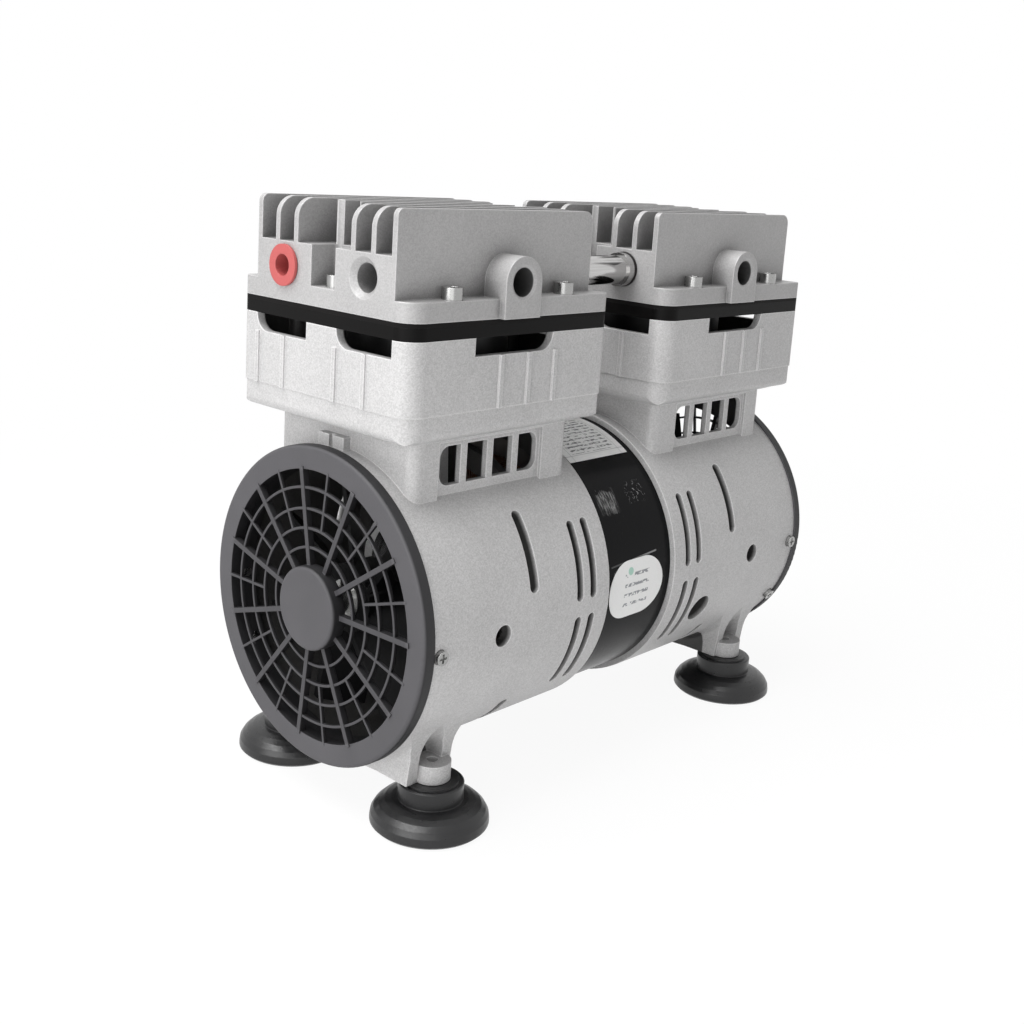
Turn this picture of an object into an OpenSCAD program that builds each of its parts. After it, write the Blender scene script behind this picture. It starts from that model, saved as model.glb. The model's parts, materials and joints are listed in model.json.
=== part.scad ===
// Twin cylinder oil-free vacuum pump: one motor between two rocking piston ends.
// X runs along the shaft with the front end at -X, Z is up, and the floor is at Z = 0.

/* [Layout] */
// Height of the underside of the drum above the floor
drum_clear = 20.5; // [20:0.25:22]
// Distance from the middle of the pump to each cylinder axis
cyl_x = 80.75; // [80.5:0.25:81]
// Distance from the middle of the pump to each pair of feet
foot_x = 110; // [109:0.5:111]
// Distance from the centre line to each foot
foot_y = 46.5; // [45.5:0.5:47.5]
// Throw of the crank, half the piston stroke
crank_throw = 5; // [4:0.25:5.25]

/* [Crankcase drum] */
// Outside diameter of the drum
drum_d = 135; // [134:0.5:136]
// Wall of the drum
drum_wall = 5.5; // [5:0.25:6]
// Half length of the bare stator between the two drums
drum_in_x = 25; // [24:0.5:26]
// Length of the drum along the shaft
drum_len = 108.5; // [108:0.5:109]
// Depth of the register that holds the stator
register_len = 8; // [7:0.5:9]
// Width of the paired cooling slots
slot_w = 4.4; // [3.5:0.1:5]
// Distance from the middle to the first row of slots
slot_x = 36; // [35.5:0.5:37]
// Spacing of the two rows of slots
slot_pitch = 9; // [8:0.5:10]
// Distance from the middle to the lone slots
lone_slot_x = 74.5; // [72:0.5:76]
// Width of the lone slots
lone_slot_w = 5.4; // [4.5:0.1:6]
// Diameter of the round hole that reaches the crank screw
access_d = 9.4; // [8:0.1:10]
// Distance from the middle to the round hole
access_x = 93.5; // [92:0.5:95]
// Diameter of the wire exit
wire_hole_d = 15; // [12:0.5:16]
// Distance from the middle to the wire exit
wire_hole_x = 57; // [56:0.5:58]

/* [Crankcase neck] */
// Length of the neck along the shaft
neck_len = 94; // [93.5:0.5:95]
// Width of the neck, as a share of the width of the air box
neck_share = 0.827; // [0.82:0.001:0.835]
// Height from the shaft centre to the foot of the air box
neck_h = 76.5; // [76:0.5:77.5]
// How far the neck sits from the cylinder axis towards the middle
neck_shift = 1.75; // [1.5:0.25:2.25]
// Wall of the neck
neck_wall = 4.5; // [4:0.25:5]
// Width of one vent window
vent_w = 11.8; // [11:0.2:12.4]
// Spacing of the vent windows
vent_pitch = 15.5; // [15:0.25:16]
// Height of the vent windows
vent_h = 16.5; // [15:0.5:18]
// Height of the vent sill above the shaft centre
vent_sill = 57; // [56.5:0.5:58]
// Depth of the panel that the vents are cut in
panel_depth = 1.5; // [1:0.25:2]
// Length of the panel that the vents are cut in
panel_w = 62; // [61:0.5:63]

/* [Air box] */
// Length of the air box, valve plate and head
box_len = 117.5; // [117:0.5:118]
// Width of the air box, valve plate and head flange
box_w = 104; // [103:0.5:105]
// Wall of the air box
box_wall = 4; // [3.5:0.25:4.5]
// Radius of the two large corners of the air box, valve plate and head flange
corner_r = 9; // [8:0.5:10]
// Radius of the two small corners
small_corner_r = 3; // [2:0.5:4]
// Height of the plain band below the upright walls
band_h = 13; // [12.5:0.5:14]
// Radius of the band's lower edge
band_edge_r = 4; // [3:0.5:4.5]
// Height of the upright walls
box_h = 29.5; // [29:0.5:31]
// Height of the notches in the top edge
notch_h = 7.5; // [7:0.5:8.5]
// Radius of each notch's round lower corner
notch_r = 7; // [6:0.5:7]
// Width of the notch in each long side
side_notch_w = 46; // [44:0.5:47]
// Width of the two notches in each end, as a share of the width of the air box
end_notch_share = 0.317; // [0.3:0.001:0.325]
// Width of the upright ribs
rib_w = 2.2; // [1.8:0.2:2.6]
// Standing height of the upright ribs
rib_t = 0.9; // [0.6:0.1:1.1]

/* [Legs] */
// Diameter of the foot bosses
boss_d = 16.2; // [15.6:0.2:16.8]
// Height of the foot bosses
boss_h = 8; // [7:0.5:9]
// Diameter of the tapped holes for the feet, M6
foot_tap_d = 5; // [4.8:0.1:5.4]
// Thickness of the two plates of the legs
leg_t = 5.5; // [5:0.5:6]
// Distance from the feet to the middle of the inner leg plate
leg_in = 7; // [6:0.25:8]
// Distance from the feet to the outer face of the outer leg plate
leg_out = 14.45; // [14:0.05:15]

/* [Feet] */
// Diameter of the suction cup at the floor
cup_d = 51; // [49:0.2:52]
// Diameter of the rubber neck
cup_neck_d = 28.2; // [26:0.1:29]
// Height of the rubber foot
foot_h = 19.5; // [19:0.5:20]
// Height where the neck meets the cup
cup_shoulder_h = 11; // [10:0.5:12]
// Thickness of the cup's lip
cup_lip_t = 2.2; // [1.8:0.1:2.6]

/* [Valve plate and head] */
// Thickness of the valve plate
plate_t = 5.3; // [5:0.1:5.6]
// Thickness of the head gasket
gasket_t = 1.7; // [1.5:0.1:1.9]
// Thickness of the head flange
flange_t = 8; // [7.5:0.5:8.5]
// How far the block and fins stop short of the flange's inner edge
block_inset = 3.75; // [3.25:0.25:4.25]
// Height of the block under the fins
block_h = 16.5; // [16:0.5:17]
// Height of the cooling fins
fin_h = 18; // [16:0.5:20]
// Width of the block and fins, as a share of the width of the flange
block_share = 0.826; // [0.82:0.001:0.83]
// Thickness of a fin
fin_t = 2.6; // [2.2:0.1:3]
// Radius of the upper corners of a fin
fin_corner_r = 8; // [6:0.5:9]
// Tapping diameter of the ports, G 1/4
port_d = 11.8; // [11.5:0.1:11.9]
// Distance of the end ports from the centre line
port_y = 24.5; // [24:0.25:25]
// Height of the port centres above the underside of the head
port_h = 14.6; // [14.2:0.1:14.8]
// Outer diameter of the countersink of the end ports
sink_d = 16.8; // [16:0.2:17]
// Diameter of the bosses round the side ports
side_boss_d = 21; // [20.4:0.2:21.6]
// How far the side bosses stand out from the flange
side_boss_proud = 3; // [2:0.25:4]
// Width of the recess for the end bolt
recess_w = 15; // [14.5:0.5:16]
// Depth of the recess for the end bolt
recess_l = 14; // [13:0.5:14.5]

/* [Head bolts] */
// Thread diameter of the head bolts
bolt_d = 5; // [4.8:0.1:5.2]
// Diameter of the bolt heads
bolt_head_d = 8.5; // [8:0.1:8.8]
// Height of the bolt heads
bolt_head_h = 5; // [4.5:0.1:5.6]
// Distance of the side bolts from the long edges
bolt_edge = 4.5; // [4.4:0.1:4.6]
// Distance of the side bolts from the cylinder axis, along the shaft
bolt_x = 33; // [32:0.5:34]
// Distance of the end bolts from the end face
bolt_end = 7; // [6.6:0.1:7.4]

/* [Transfer tubes] */
// Outside diameter of the tubes
tube_d = 13.6; // [13.2:0.1:14]
// Wall of the tubes
tube_wall = 1; // [0.8:0.1:1.2]
// Diameter of the collars
collar_d = 15.8; // [15.4:0.1:16.2]
// Length of the collars
collar_l = 3.5; // [3:0.25:4]
// Length of the spigots in the heads
spigot_l = 10; // [8:0.5:12]

/* [Cylinder and piston] */
// Bore of the cylinder
bore_d = 64; // [63.8:0.1:65]
// Wall of the cylinder sleeve
sleeve_wall = 3; // [2.5:0.25:3.5]
// Gap between the crown and the valve plate at the top of the stroke
crown_gap = 3; // [2.6:0.1:3.5]
// Diameter of the cup seal
seal_d = 53.2; // [52:0.1:53.4]
// Diameter of the piston disc
piston_d = 51; // [48:0.5:52]
// Diameter of the seal retainer
retainer_d = 43; // [40:0.5:45]
// Width of the connecting rod
rod_w = 11; // [10:0.5:11.5]

/* [Bearings and shaft] */
// Diameter of the shaft in the motor
shaft_d = 15; // [14.6:0.1:15.4]
// Diameter of the shaft ends
stub_d = 12; // [11.8:0.1:12.2]
// Outside diameter of the main bearings
main_brg_d = 35; // [34:0.5:36]
// Width of the main bearings
main_brg_w = 11; // [10:0.5:11.5]
// Distance from the middle to the inner face of the main bearings
main_brg_x = 52; // [51.5:0.5:52.5]
// Outside diameter of the rod bearings
rod_brg_d = 47; // [46:0.5:48]
// Bore of the rod bearings
rod_brg_bore = 25; // [24.8:0.1:25.6]
// Width of the rod bearings
rod_brg_w = 12; // [11.5:0.1:12.2]

/* [Motor] */
// Wall of the register round the stator
register_wall = 3.5; // [3.25:0.25:3.75]
// Thickness of the black film on the stator
film_t = 0.8; // [0.5:0.1:1]
// Bore of the stator, as a share of its diameter
stator_bore_share = 0.555; // [0.55:0.005:0.57]
// Air gap between the rotor and the stator
air_gap = 0.5; // [0.3:0.1:0.8]
// Outside diameter of the winding heads, as a share of the stator's
winding_share = 0.8125; // [0.8:0.0025:0.82]
// Length of each winding head, as a share of the stator's diameter
winding_len_share = 0.094; // [0.085:0.001:0.1]

/* [Fan and guard] */
// How far the guard stands out beyond the drum
guard_proud = 1; // [0.75:0.25:1.5]
// Width of the guard's ring
guard_rim_w = 10; // [9.5:0.25:10.5]
// Thickness of the guard's ring
guard_t = 5.5; // [5.25:0.25:6]
// Diameter of the guard's hub, as a share of the guard's
guard_hub_share = 0.263; // [0.25:0.001:0.28]
// How far the hub stands out from the ring
hub_proud = 4.2; // [3.5:0.1:4.5]
// Width of the main ribs
main_rib_w = 2.2; // [1.8:0.1:2.6]
// Width of the fine ribs and rings
fine_rib_w = 1.1; // [0.9:0.1:1.4]
// Gap between the fan and the drum
fan_gap = 7; // [6:0.5:8]
// Length of the fan blades along the shaft
fan_l = 17; // [15:0.5:18]
// Thickness of a fan blade
blade_t = 2; // [1.6:0.2:2.4]

/* [Hidden] */
$fn = 72;
// Facets of the small round features of the castings in quick previews
few = 24;
// Overrun of the cuts
over = 1;
// Clearance of pieces that are fitted together and stay put
fit_gap = 0.05;
// Radial clearance of running fits
run_gap = 0.03;
// Clearance of a bolt in its plain hole, on the radius
bolt_gap = 0.3;
// Clearance of soft pieces and seats that only rest
seat_gap = 0.2;

// Stack of heights
shaft_z = drum_clear + drum_d / 2;
deck_z = shaft_z + neck_h;
box_z = deck_z + band_h;
plate_z = box_z + box_h;
gasket_z = plate_z + plate_t;
head_z = gasket_z + gasket_t;
flange_z = head_z + flange_t;
block_z = flange_z + block_h;
fin_z = block_z + fin_h;
port_z = head_z + port_h;

// Ends along the shaft
drum_out_x = drum_in_x + drum_len;
stator_x = drum_in_x + register_len;
box_x0 = cyl_x - box_len / 2;
box_x1 = cyl_x + box_len / 2;
block_x1 = box_x1 - block_inset;
neck_x = cyl_x - neck_shift;
neck_x0 = neck_x - neck_len / 2;
neck_x1 = neck_x + neck_len / 2;
drum_r = drum_d / 2;
drum_bore_r = drum_r - drum_wall;
neck_w = box_w * neck_share;
neck_corner_r = 5;

// Angles of the slots, in degrees above the horizontal through the shaft
slot_high_angles = [3, 30];
slot_low_angles = [-35, -7];
lone_high_angles = [12, 38];
lone_low_angles = [-62, -40];
access_angle = -2.5;
wire_hole_angle = -23;

// Stator
stator_d = drum_d - 2 * register_wall;
stator_bore_d = stator_d * stator_bore_share;
rotor_d = stator_bore_d - 2 * air_gap;
winding_d = stator_d * winding_share;
winding_l = stator_d * winding_len_share;

// Labels on the stator's film
label_t = 0.2;
label_w = 40;
label_h = 28;
label_x = -1;
label_angle = -2;
plate_l = 42;
name_angles = [56, 88];

// Web that carries the main bearing, inside the drum
web_t = 5;
web_x = main_brg_x + main_brg_w - web_t;
hub_wall = 4.5;
web_rim = 9;
spoke_w = 13;
spoke_count = 4;

// Posts for the long stator bolts
post_inset = 4.5;
stator_bolt_r = drum_bore_r - post_inset;
stator_bolt_d = 5;
stator_bolt_head_d = 8;
stator_bolt_head_h = 4;
post_d = 9.5;
stator_bolt_angles = [45, 135, 225, 315];

// Deck under the cylinder
deck_t = 8;
deck_lip = 2;
deck_vent_l = 7;
deck_vent_w = 44;
bolt_post_d = 9.6;
bolt_post_h = box_h - over;

// Places of the notches and ribs of the air box
side_notch_x = cyl_x;
end_notch_w = box_w * end_notch_share;
end_notch_y = box_w / 4;
side_rib_shares = [-0.17, 0.19, 0.54];
end_rib_shares = [0.399, 0.231, -0.087, -0.26];
band_rise = 2;
band_inset = 0.4;

// Lug on top of the drum's outer end
lug_w = 16;
lug_y = 3;
lug_h = 5;
lug_l = 4;
lug_groove = 3;

// Profile of the suction cup between its lip and its neck
cup_dome_shares = [[0.97, 0.26], [0.86, 0.5], [0.68, 0.72], [0.45, 0.88], [0.2, 0.97]];
cup_step = 0.8;

// Legs: how far their edge leans out beyond the foot, and at what heights above its seat
boss_bottom = foot_h + seat_gap;
leg_leans = [0, 1, 2.2, 5, 8];
leg_lean_hs = [0, 8, 16, 23.5, 28.5];
leg_fillet = 6;
leg_link_t = 5;

// Screws that hold the guards
guard_screw_d = 4;
guard_screw_head_d = 6;
guard_screw_head_h = 2;
spot_face = 0.4;
guard_screw_angles = [-2.5, 182.5, 211];
guard_screw_x = drum_out_x - 3.8;
guard_skirt_l = 8;
guard_skirt_t = 3;

// Head details
fin_count = 8;
wall_w = box_w * block_share;
fin_pitch = (wall_w - fin_t) / (fin_count - 1);
bolt_y = box_w / 2 - bolt_edge;
side_boss_y = box_w / 2 + side_boss_proud;
wall_corner_r = 3;
tail_corner_r = 5;
chamber_wall = 6;
chamber_mid = 12;
chamber_roof = 4;
chamber_end = 21.5;
chamber_r = 4;
sink_depth = 2;
side_sink_d = 14.4;
side_sink_depth = 0.8;
recess_r = 3;
socket_af = 4.6;
socket_depth = 2.6;
bolt_l = 36;

// Valves
reed_t = 0.3;
reed_l = 29;
reed_w = 9;
reed_x = cyl_x - reed_l / 2;
reed_y = 11;
valve_hole_d = 4;
valve_hole_pitch = 6;
stop_t = 1.2;
stop_rise = 2.8;
stop_foot_l = 5;
clamp_l = 5;
clamp_t = 1;
clamp_screw_d = 2.4;
relief_gap = 2;

// Seals of the tubes, and the two faces that the tubes run between
ring_t = 2.2;
ring_lift = 0.35;
ring_stand = ring_lift + ring_t / 2 + fit_gap;
tube_x0 = -box_x0 - block_inset;
tube_x1 = box_x0;

// Crank
shoulder_x = cyl_x - rod_brg_w / 2;
weight_t = 8;
weight_gap = 2.5;
weight_x = main_brg_x + main_brg_w + weight_gap;
weight_r = 34;
weight_hub_r = 13.5;
weight_share = 0.25;
shoulder_r = 14.8;
washer_t = 1.5;
washer_r = 14.5;
crank_end_x = cyl_x + rod_brg_w / 2 + seat_gap;
brg_groove_w = 1.8;
brg_groove_depth = 0.7;
set_screw_d = 3.3;

// Rod
big_end_wall = 5.5;
beam_w0 = 26;
beam_w1 = 17;
beam_web_t = 4;
beam_flange = 3;
piston_t = 6;
piston_boss_d = 24;
piston_boss_h = 7;
seal_t = 1.2;
seal_lip_h = 3.2;
retainer_t = 3;
cap_screw_d = 6;
cap_screw_head_d = 10;
cap_screw_head_h = 2;

// Fan
fan_back = 29.5;
fan_x = drum_out_x - fan_back;
fan_d = 2 * (drum_bore_r - fan_gap);
fan_hub_d = 30;
fan_bore_wall = 3.2;
blade_count = 7;
blade_pitch = 38;
clip_t = 1;
clip_d = 17;
shaft_tail = 6.5;
shaft_end_x = fan_x + fan_l + shaft_tail;

// Guard
guard_d = drum_d + 2 * guard_proud;
guard_open_d = guard_d - 2 * guard_rim_w;
guard_hub_d = guard_d * guard_hub_share;
guard_ring_shares = [0.371, 0.4905, 0.612, 0.742];
main_rib_count = 11;
rib_angle = 99.75;
fine_rib_from = 1;
grille_t = 3;
fine_rib_step = 0.4;
grille_proud = 0.6;
guard_edge_r = 1.6;
hub_edge_r = 1.5;
hub_skin = 2.4;

// Plug
plug_flange_d = 17.2;
plug_flange_t = 1.3;
plug_hole_d = 9;
plug_l = 12;
plug_floor = 1.6;
plug_gap = 0.25;

// Helpers. Every end is drawn at +X, and the front end is its mirror image.

module front() {
    mirror([1, 0, 0]) children();
}

module both_ends() {
    children();
    front() children();
}

module both_sides() {
    children();
    mirror([0, 1, 0]) children();
}

module x_rod(r, x0, x1, y = 0, z = shaft_z) {
    translate([x0, y, z]) rotate([0, 90, 0]) cylinder(r = r, h = x1 - x0);
}

module y_rod(r, y0, y1, x, z) {
    translate([x, y1, z]) rotate([90, 0, 0]) cylinder(r = r, h = y1 - y0);
}

module z_rod(r, z0, z1, x = 0, y = 0) {
    translate([x, y, z0]) cylinder(r = r, h = z1 - z0);
}

module box(x0, x1, y0, y1, z0, z1) {
    translate([x0, y0, z0]) cube([x1 - x0, y1 - y0, z1 - z0]);
}

// Outline drawn as (x, z) and pushed along Y
module y_prism(y0, y1) {
    translate([0, y1, 0]) rotate([90, 0, 0]) linear_extrude(y1 - y0) children();
}

// Outline drawn as (y, z) and pushed along X
module x_prism(x0, x1) {
    translate([x0, 0, 0]) rotate([90, 0, 90]) linear_extrude(x1 - x0) children();
}

// A rectangle with corners of radius r, or with q at the other two of its corners
module round_rect(l, w, r, q) {
    other = is_undef(q) ? r : q;
    m = max(r, other);
    square([l - 2 * m, w], center = true);
    square([l, w - 2 * m], center = true);
    for (sx = [-1, 1], sy = [-1, 1]) {
        c = sx == sy ? r : other;
        translate([sx * (l / 2 - c), sy * (w / 2 - c)]) circle(r = c);
        if (c < m) {
            translate([sx * (l / 2 - m / 2), sy * (w - m - c) / 2]) square([m, m - c], center = true);
            translate([sx * (l - m - c) / 2, sy * (w / 2 - m / 2)]) square([m - c, m], center = true);
        }
    }
}

module slab(l, w, r, x, z0, z1) {
    translate([x, 0, z0]) linear_extrude(z1 - z0) round_rect(l, w, r);
}

// The outline that the air box, valve plate, gasket and head share. Its large corners stand at
// -X -Y and +X +Y. The front pieces are drawn mirrored, so they swap the two radii.
module box_slab(l, w, z0, z1, mirrored) {
    translate([cyl_x, 0, z0]) linear_extrude(z1 - z0)
        round_rect(l, w, mirrored ? small_corner_r : corner_r, mirrored ? corner_r : small_corner_r);
}

// Turns a piece drawn on the shaft's -Y side to an angle above the horizontal
module at_angle(a) {
    translate([0, 0, shaft_z]) rotate([-a, 0, 0]) translate([0, 0, -shaft_z]) children();
}

// Places of the six bolts of one head
module bolt_places() {
    for (sx = [-1, 1], sy = [-1, 1]) translate([cyl_x + sx * bolt_x, sy * bolt_y, 0]) children();
    for (x = [box_x0 + bolt_end, box_x1 - bolt_end]) translate([x, 0, 0]) children();
}

// Crankcase

module arc_slot(x, angles, w) {
    at_angle(angles[1]) {
        translate([x, 0, shaft_z]) rotate([0, 90, 0]) rotate([0, 0, -90])
            rotate_extrude(angle = angles[1] - angles[0])
                translate([drum_bore_r - over, -w / 2]) square([drum_wall + 2 * over, w]);
    }
    for (a = angles) {
        at_angle(a) y_rod(w / 2 + fit_gap, -drum_r - over, -drum_bore_r + over, x, shaft_z, $fn = few);
    }
}

module drum_slots() {
    both_sides() {
        for (x = [slot_x, slot_x + slot_pitch], a = [slot_high_angles, slot_low_angles]) {
            arc_slot(x, a, slot_w);
        }
        for (a = [lone_high_angles, lone_low_angles]) arc_slot(lone_slot_x, a, lone_slot_w);
    }
    at_angle(access_angle)
        y_rod(access_d / 2, -drum_r - over, -drum_bore_r + over, access_x, shaft_z, $fn = few);
}

module vent_outline() {
    difference() {
        round_rect(3 * vent_pitch + vent_w, vent_h, neck_corner_r, $fn = few);
        for (k = [-1, 0, 1]) {
            translate([k * vent_pitch, 0]) square([vent_pitch - vent_w, vent_h + over], center = true);
        }
    }
}

module neck_block() {
    difference() {
        slab(neck_len, neck_w, neck_corner_r, neck_x, shaft_z, deck_z + over);
        both_sides()
            box(cyl_x - panel_w / 2, cyl_x + panel_w / 2, -neck_w / 2 - over, -neck_w / 2 + panel_depth,
                shaft_z, deck_z - over);
    }
}

module vents() {
    y_prism(-neck_w / 2 - over, neck_w / 2 + over)
        translate([cyl_x, shaft_z + vent_sill + vent_h / 2]) vent_outline();
}

// Half of the band's cross-section, from the middle out to the face at w
module band_outline(low_w, w) {
    translate([0, band_rise + band_edge_r]) square([w, band_h - band_rise - band_edge_r]);
    translate([w - band_edge_r, band_rise + band_edge_r]) circle(r = band_edge_r, $fn = few);
    polygon([[0, 0], [low_w, 0], [w - band_edge_r, band_rise],
             [w - band_edge_r, band_rise + band_edge_r + over], [0, band_rise + band_edge_r + over]]);
}

module band(mirrored) {
    l = box_len / 2 - band_inset;
    w = box_w / 2 - band_inset;
    intersection() {
        translate([0, box_w, deck_z]) rotate([90, 0, 0]) linear_extrude(2 * box_w) {
            translate([cyl_x, 0]) band_outline(neck_x1 - cyl_x, l);
            translate([cyl_x, 0]) mirror([1, 0]) band_outline(cyl_x - neck_x0, l);
        }
        translate([0, 0, deck_z]) rotate([90, 0, 90]) linear_extrude(2 * box_len) {
            band_outline(neck_w / 2, w);
            mirror([1, 0]) band_outline(neck_w / 2, w);
        }
        box_slab(2 * l, 2 * w, deck_z - over, box_z + over, mirrored);
    }
}

module box_ribs(way) {
    for (sy = [-1, 1], s = side_rib_shares) {
        translate([side_notch_x + way * s * side_notch_w, sy * box_w / 2, 0])
            box(-rib_w / 2, rib_w / 2, -rib_t, rib_t, box_z, plate_z - notch_h);
    }
    for (x = [box_x0, box_x1], s = end_rib_shares) {
        translate([x, s * box_w, 0]) box(-rib_t, rib_t, -rib_w / 2, rib_w / 2, box_z, plate_z - notch_h);
    }
}

// Notch seen from outside, with a square lower corner on its left and a round one on its right
module notch_outline(w) {
    translate([-w / 2, 0]) {
        square([w - notch_r, notch_h + over]);
        translate([0, notch_r]) square([w, notch_h + over - notch_r]);
        translate([w - notch_r, notch_r]) circle(r = notch_r, $fn = few);
    }
}

module box_notches(way) {
    for (sy = [-1, 1]) {
        translate([side_notch_x, sy * box_w / 2 + 1.5 * box_wall, plate_z - notch_h]) rotate([90, 0, 0])
            linear_extrude(3 * box_wall) mirror([way < 0 ? 1 : 0, 0]) notch_outline(side_notch_w);
    }
    for (x = [box_x0, box_x1], y = [-end_notch_y, end_notch_y]) {
        translate([x - 1.5 * box_wall, y, plate_z - notch_h]) rotate([90, 0, 90])
            linear_extrude(3 * box_wall) notch_outline(end_notch_w);
    }
}

// One side of the legs' outline, as (y, z) points from the foot up to the drum
function leg_side(side) = [
    for (k = [0 : len(leg_leans) - 1]) [side * (foot_y + leg_leans[k]), boss_bottom + leg_lean_hs[k]]
];

module leg_outline() {
    polygon(concat([[0, boss_bottom]], leg_side(1), [[0, shaft_z]], [for (k = [len(leg_leans) - 1 : -1 : 0])
        leg_side(-1)[k]]));
}

// Two plates that run across under the drum and flare out where they meet it
module leg_plate(x) {
    x_prism(x - leg_t / 2, x + leg_t / 2) leg_outline();
    intersection() {
        x_prism(x - leg_t / 2 - leg_fillet, x + leg_t / 2 + leg_fillet) leg_outline();
        translate([x, 0, shaft_z]) rotate([0, 90, 0]) rotate_extrude() polygon([
            [drum_bore_r + over, -leg_t / 2 - leg_fillet], [drum_r, -leg_t / 2 - leg_fillet],
            [drum_r + leg_fillet * 0.2, -leg_t / 2 - leg_fillet * 0.45],
            [drum_r + leg_fillet * 0.45, -leg_t / 2 - leg_fillet * 0.2],
            [drum_r + leg_fillet, -leg_t / 2], [drum_r + leg_fillet, leg_t / 2],
            [drum_r + leg_fillet * 0.45, leg_t / 2 + leg_fillet * 0.2],
            [drum_r + leg_fillet * 0.2, leg_t / 2 + leg_fillet * 0.45],
            [drum_r, leg_t / 2 + leg_fillet], [drum_bore_r + over, leg_t / 2 + leg_fillet]
        ]);
    }
}

module legs() {
    leg_plate(foot_x + leg_out - leg_t / 2);
    leg_plate(foot_x - leg_in);
    both_sides() {
        z_rod(boss_d / 2, boss_bottom, boss_bottom + boss_h, foot_x, -foot_y);
        box(foot_x, foot_x + leg_out - leg_t / 2, -foot_y, -foot_y + leg_link_t,
            boss_bottom, boss_bottom + boss_h);
    }
}

module crankcase_outside(mirrored) {
    x_rod(drum_r, drum_in_x, drum_out_x);
    neck_block();
    band(mirrored);
    box_slab(box_len, box_w, box_z, plate_z, mirrored);
    box_ribs(mirrored ? -1 : 1);
    legs();
    difference() {
        box(neck_x1 - over, neck_x1 + lug_l, lug_y - lug_w / 2, lug_y + lug_w / 2,
            shaft_z + drum_bore_r, shaft_z + drum_r + lug_h);
        box(neck_x1 + lug_l / 2, neck_x1 + lug_l + over, lug_y - lug_groove / 2, lug_y + lug_groove / 2,
            shaft_z + drum_r, shaft_z + drum_r + lug_h + over);
    }
}

module crankcase_cavity() {
    x_rod(stator_d / 2 + fit_gap, drum_in_x - over, stator_x);
    x_rod(drum_bore_r, stator_x - over, drum_out_x + over);
    box(neck_x0 + neck_wall, neck_x1 - neck_wall, -neck_w / 2 + neck_wall, neck_w / 2 - neck_wall,
        shaft_z, deck_z);
    slab(box_len - 2 * box_wall, box_w - 2 * box_wall, corner_r - box_wall, cyl_x,
         deck_z + deck_t, plate_z + over);
}

module bearing_web() {
    difference() {
        union() {
            x_rod(main_brg_d / 2 + hub_wall, main_brg_x, web_x + web_t);
            difference() {
                x_rod(drum_bore_r + over / 2, web_x, web_x + web_t);
                difference() {
                    x_rod(drum_bore_r - web_rim, web_x - over, web_x + web_t + over);
                    for (k = [0 : spoke_count - 1]) {
                        at_angle(k * 360 / spoke_count)
                            box(web_x - 2 * over, web_x + web_t + 2 * over, -drum_r, 0,
                                shaft_z - spoke_w / 2, shaft_z + spoke_w / 2);
                    }
                }
            }
            for (a = stator_bolt_angles) {
                at_angle(a) x_rod(post_d / 2, stator_x + seat_gap, web_x + over, -stator_bolt_r, $fn = few);
            }
        }
        x_rod(main_brg_d / 2, main_brg_x - over, web_x + web_t + over);
        for (a = stator_bolt_angles) {
            at_angle(a) x_rod(stator_bolt_d / 2 + fit_gap, stator_x - over, web_x + web_t + over,
                              -stator_bolt_r, $fn = few);
        }
    }
}

// The bore and the slot that lets air from the neck into the air box
module deck_openings() {
    z_rod(bore_d / 2 + fit_gap, deck_z - over, deck_z + deck_t + over, cyl_x);
    z_rod(bore_d / 2 + sleeve_wall + fit_gap, deck_z + deck_lip, deck_z + deck_t + over, cyl_x);
    box(neck_x0 + neck_wall, neck_x0 + neck_wall + deck_vent_l, -deck_vent_w / 2, deck_vent_w / 2,
        deck_z - over, deck_z + deck_t + over);
}

module bolt_posts() {
    difference() {
        intersection() {
            bolt_places() z_rod(bolt_post_d / 2, deck_z + deck_t - over / 2, plate_z, $fn = few);
            slab(box_len - box_wall, box_w - box_wall, corner_r, cyl_x, deck_z, plate_z);
        }
        bolt_places() z_rod(bolt_d / 2 + fit_gap, plate_z - bolt_post_h, plate_z + over, $fn = few);
    }
}

module crankcase(wire_exit) {
    difference() {
        union() {
            difference() {
                crankcase_outside(!wire_exit);
                crankcase_cavity();
                vents();
                box_notches(wire_exit ? 1 : -1);
                drum_slots();
            }
            bearing_web();
            bolt_posts();
        }
        deck_openings();
        bolt_places() z_rod(bolt_d / 2 + fit_gap, plate_z - bolt_post_h, plate_z + over, $fn = few);
        mirror([0, wire_exit ? 1 : 0, 0]) for (a = guard_screw_angles) {
            at_angle(a) {
                y_rod(guard_screw_d / 2 + fit_gap, -drum_r - over, -drum_bore_r + over,
                      guard_screw_x, shaft_z, $fn = few);
                y_rod(guard_screw_head_d / 2 + seat_gap, -drum_r - over, -drum_r + spot_face,
                      guard_screw_x, shaft_z, $fn = few);
            }
        }
        both_sides() z_rod(foot_tap_d / 2, boss_bottom - over, boss_bottom + boss_h + over,
                           foot_x, -foot_y, $fn = few);
        if (wire_exit) {
            at_angle(wire_hole_angle)
                y_rod(wire_hole_d / 2, -drum_r - over, -drum_bore_r + over, wire_hole_x, shaft_z);
        }
    }
}

module front_crankcase() {
    color("silver") front() crankcase(false);
}

module rear_crankcase() {
    color("silver") crankcase(true);
}

// Guard and its screws

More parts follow.
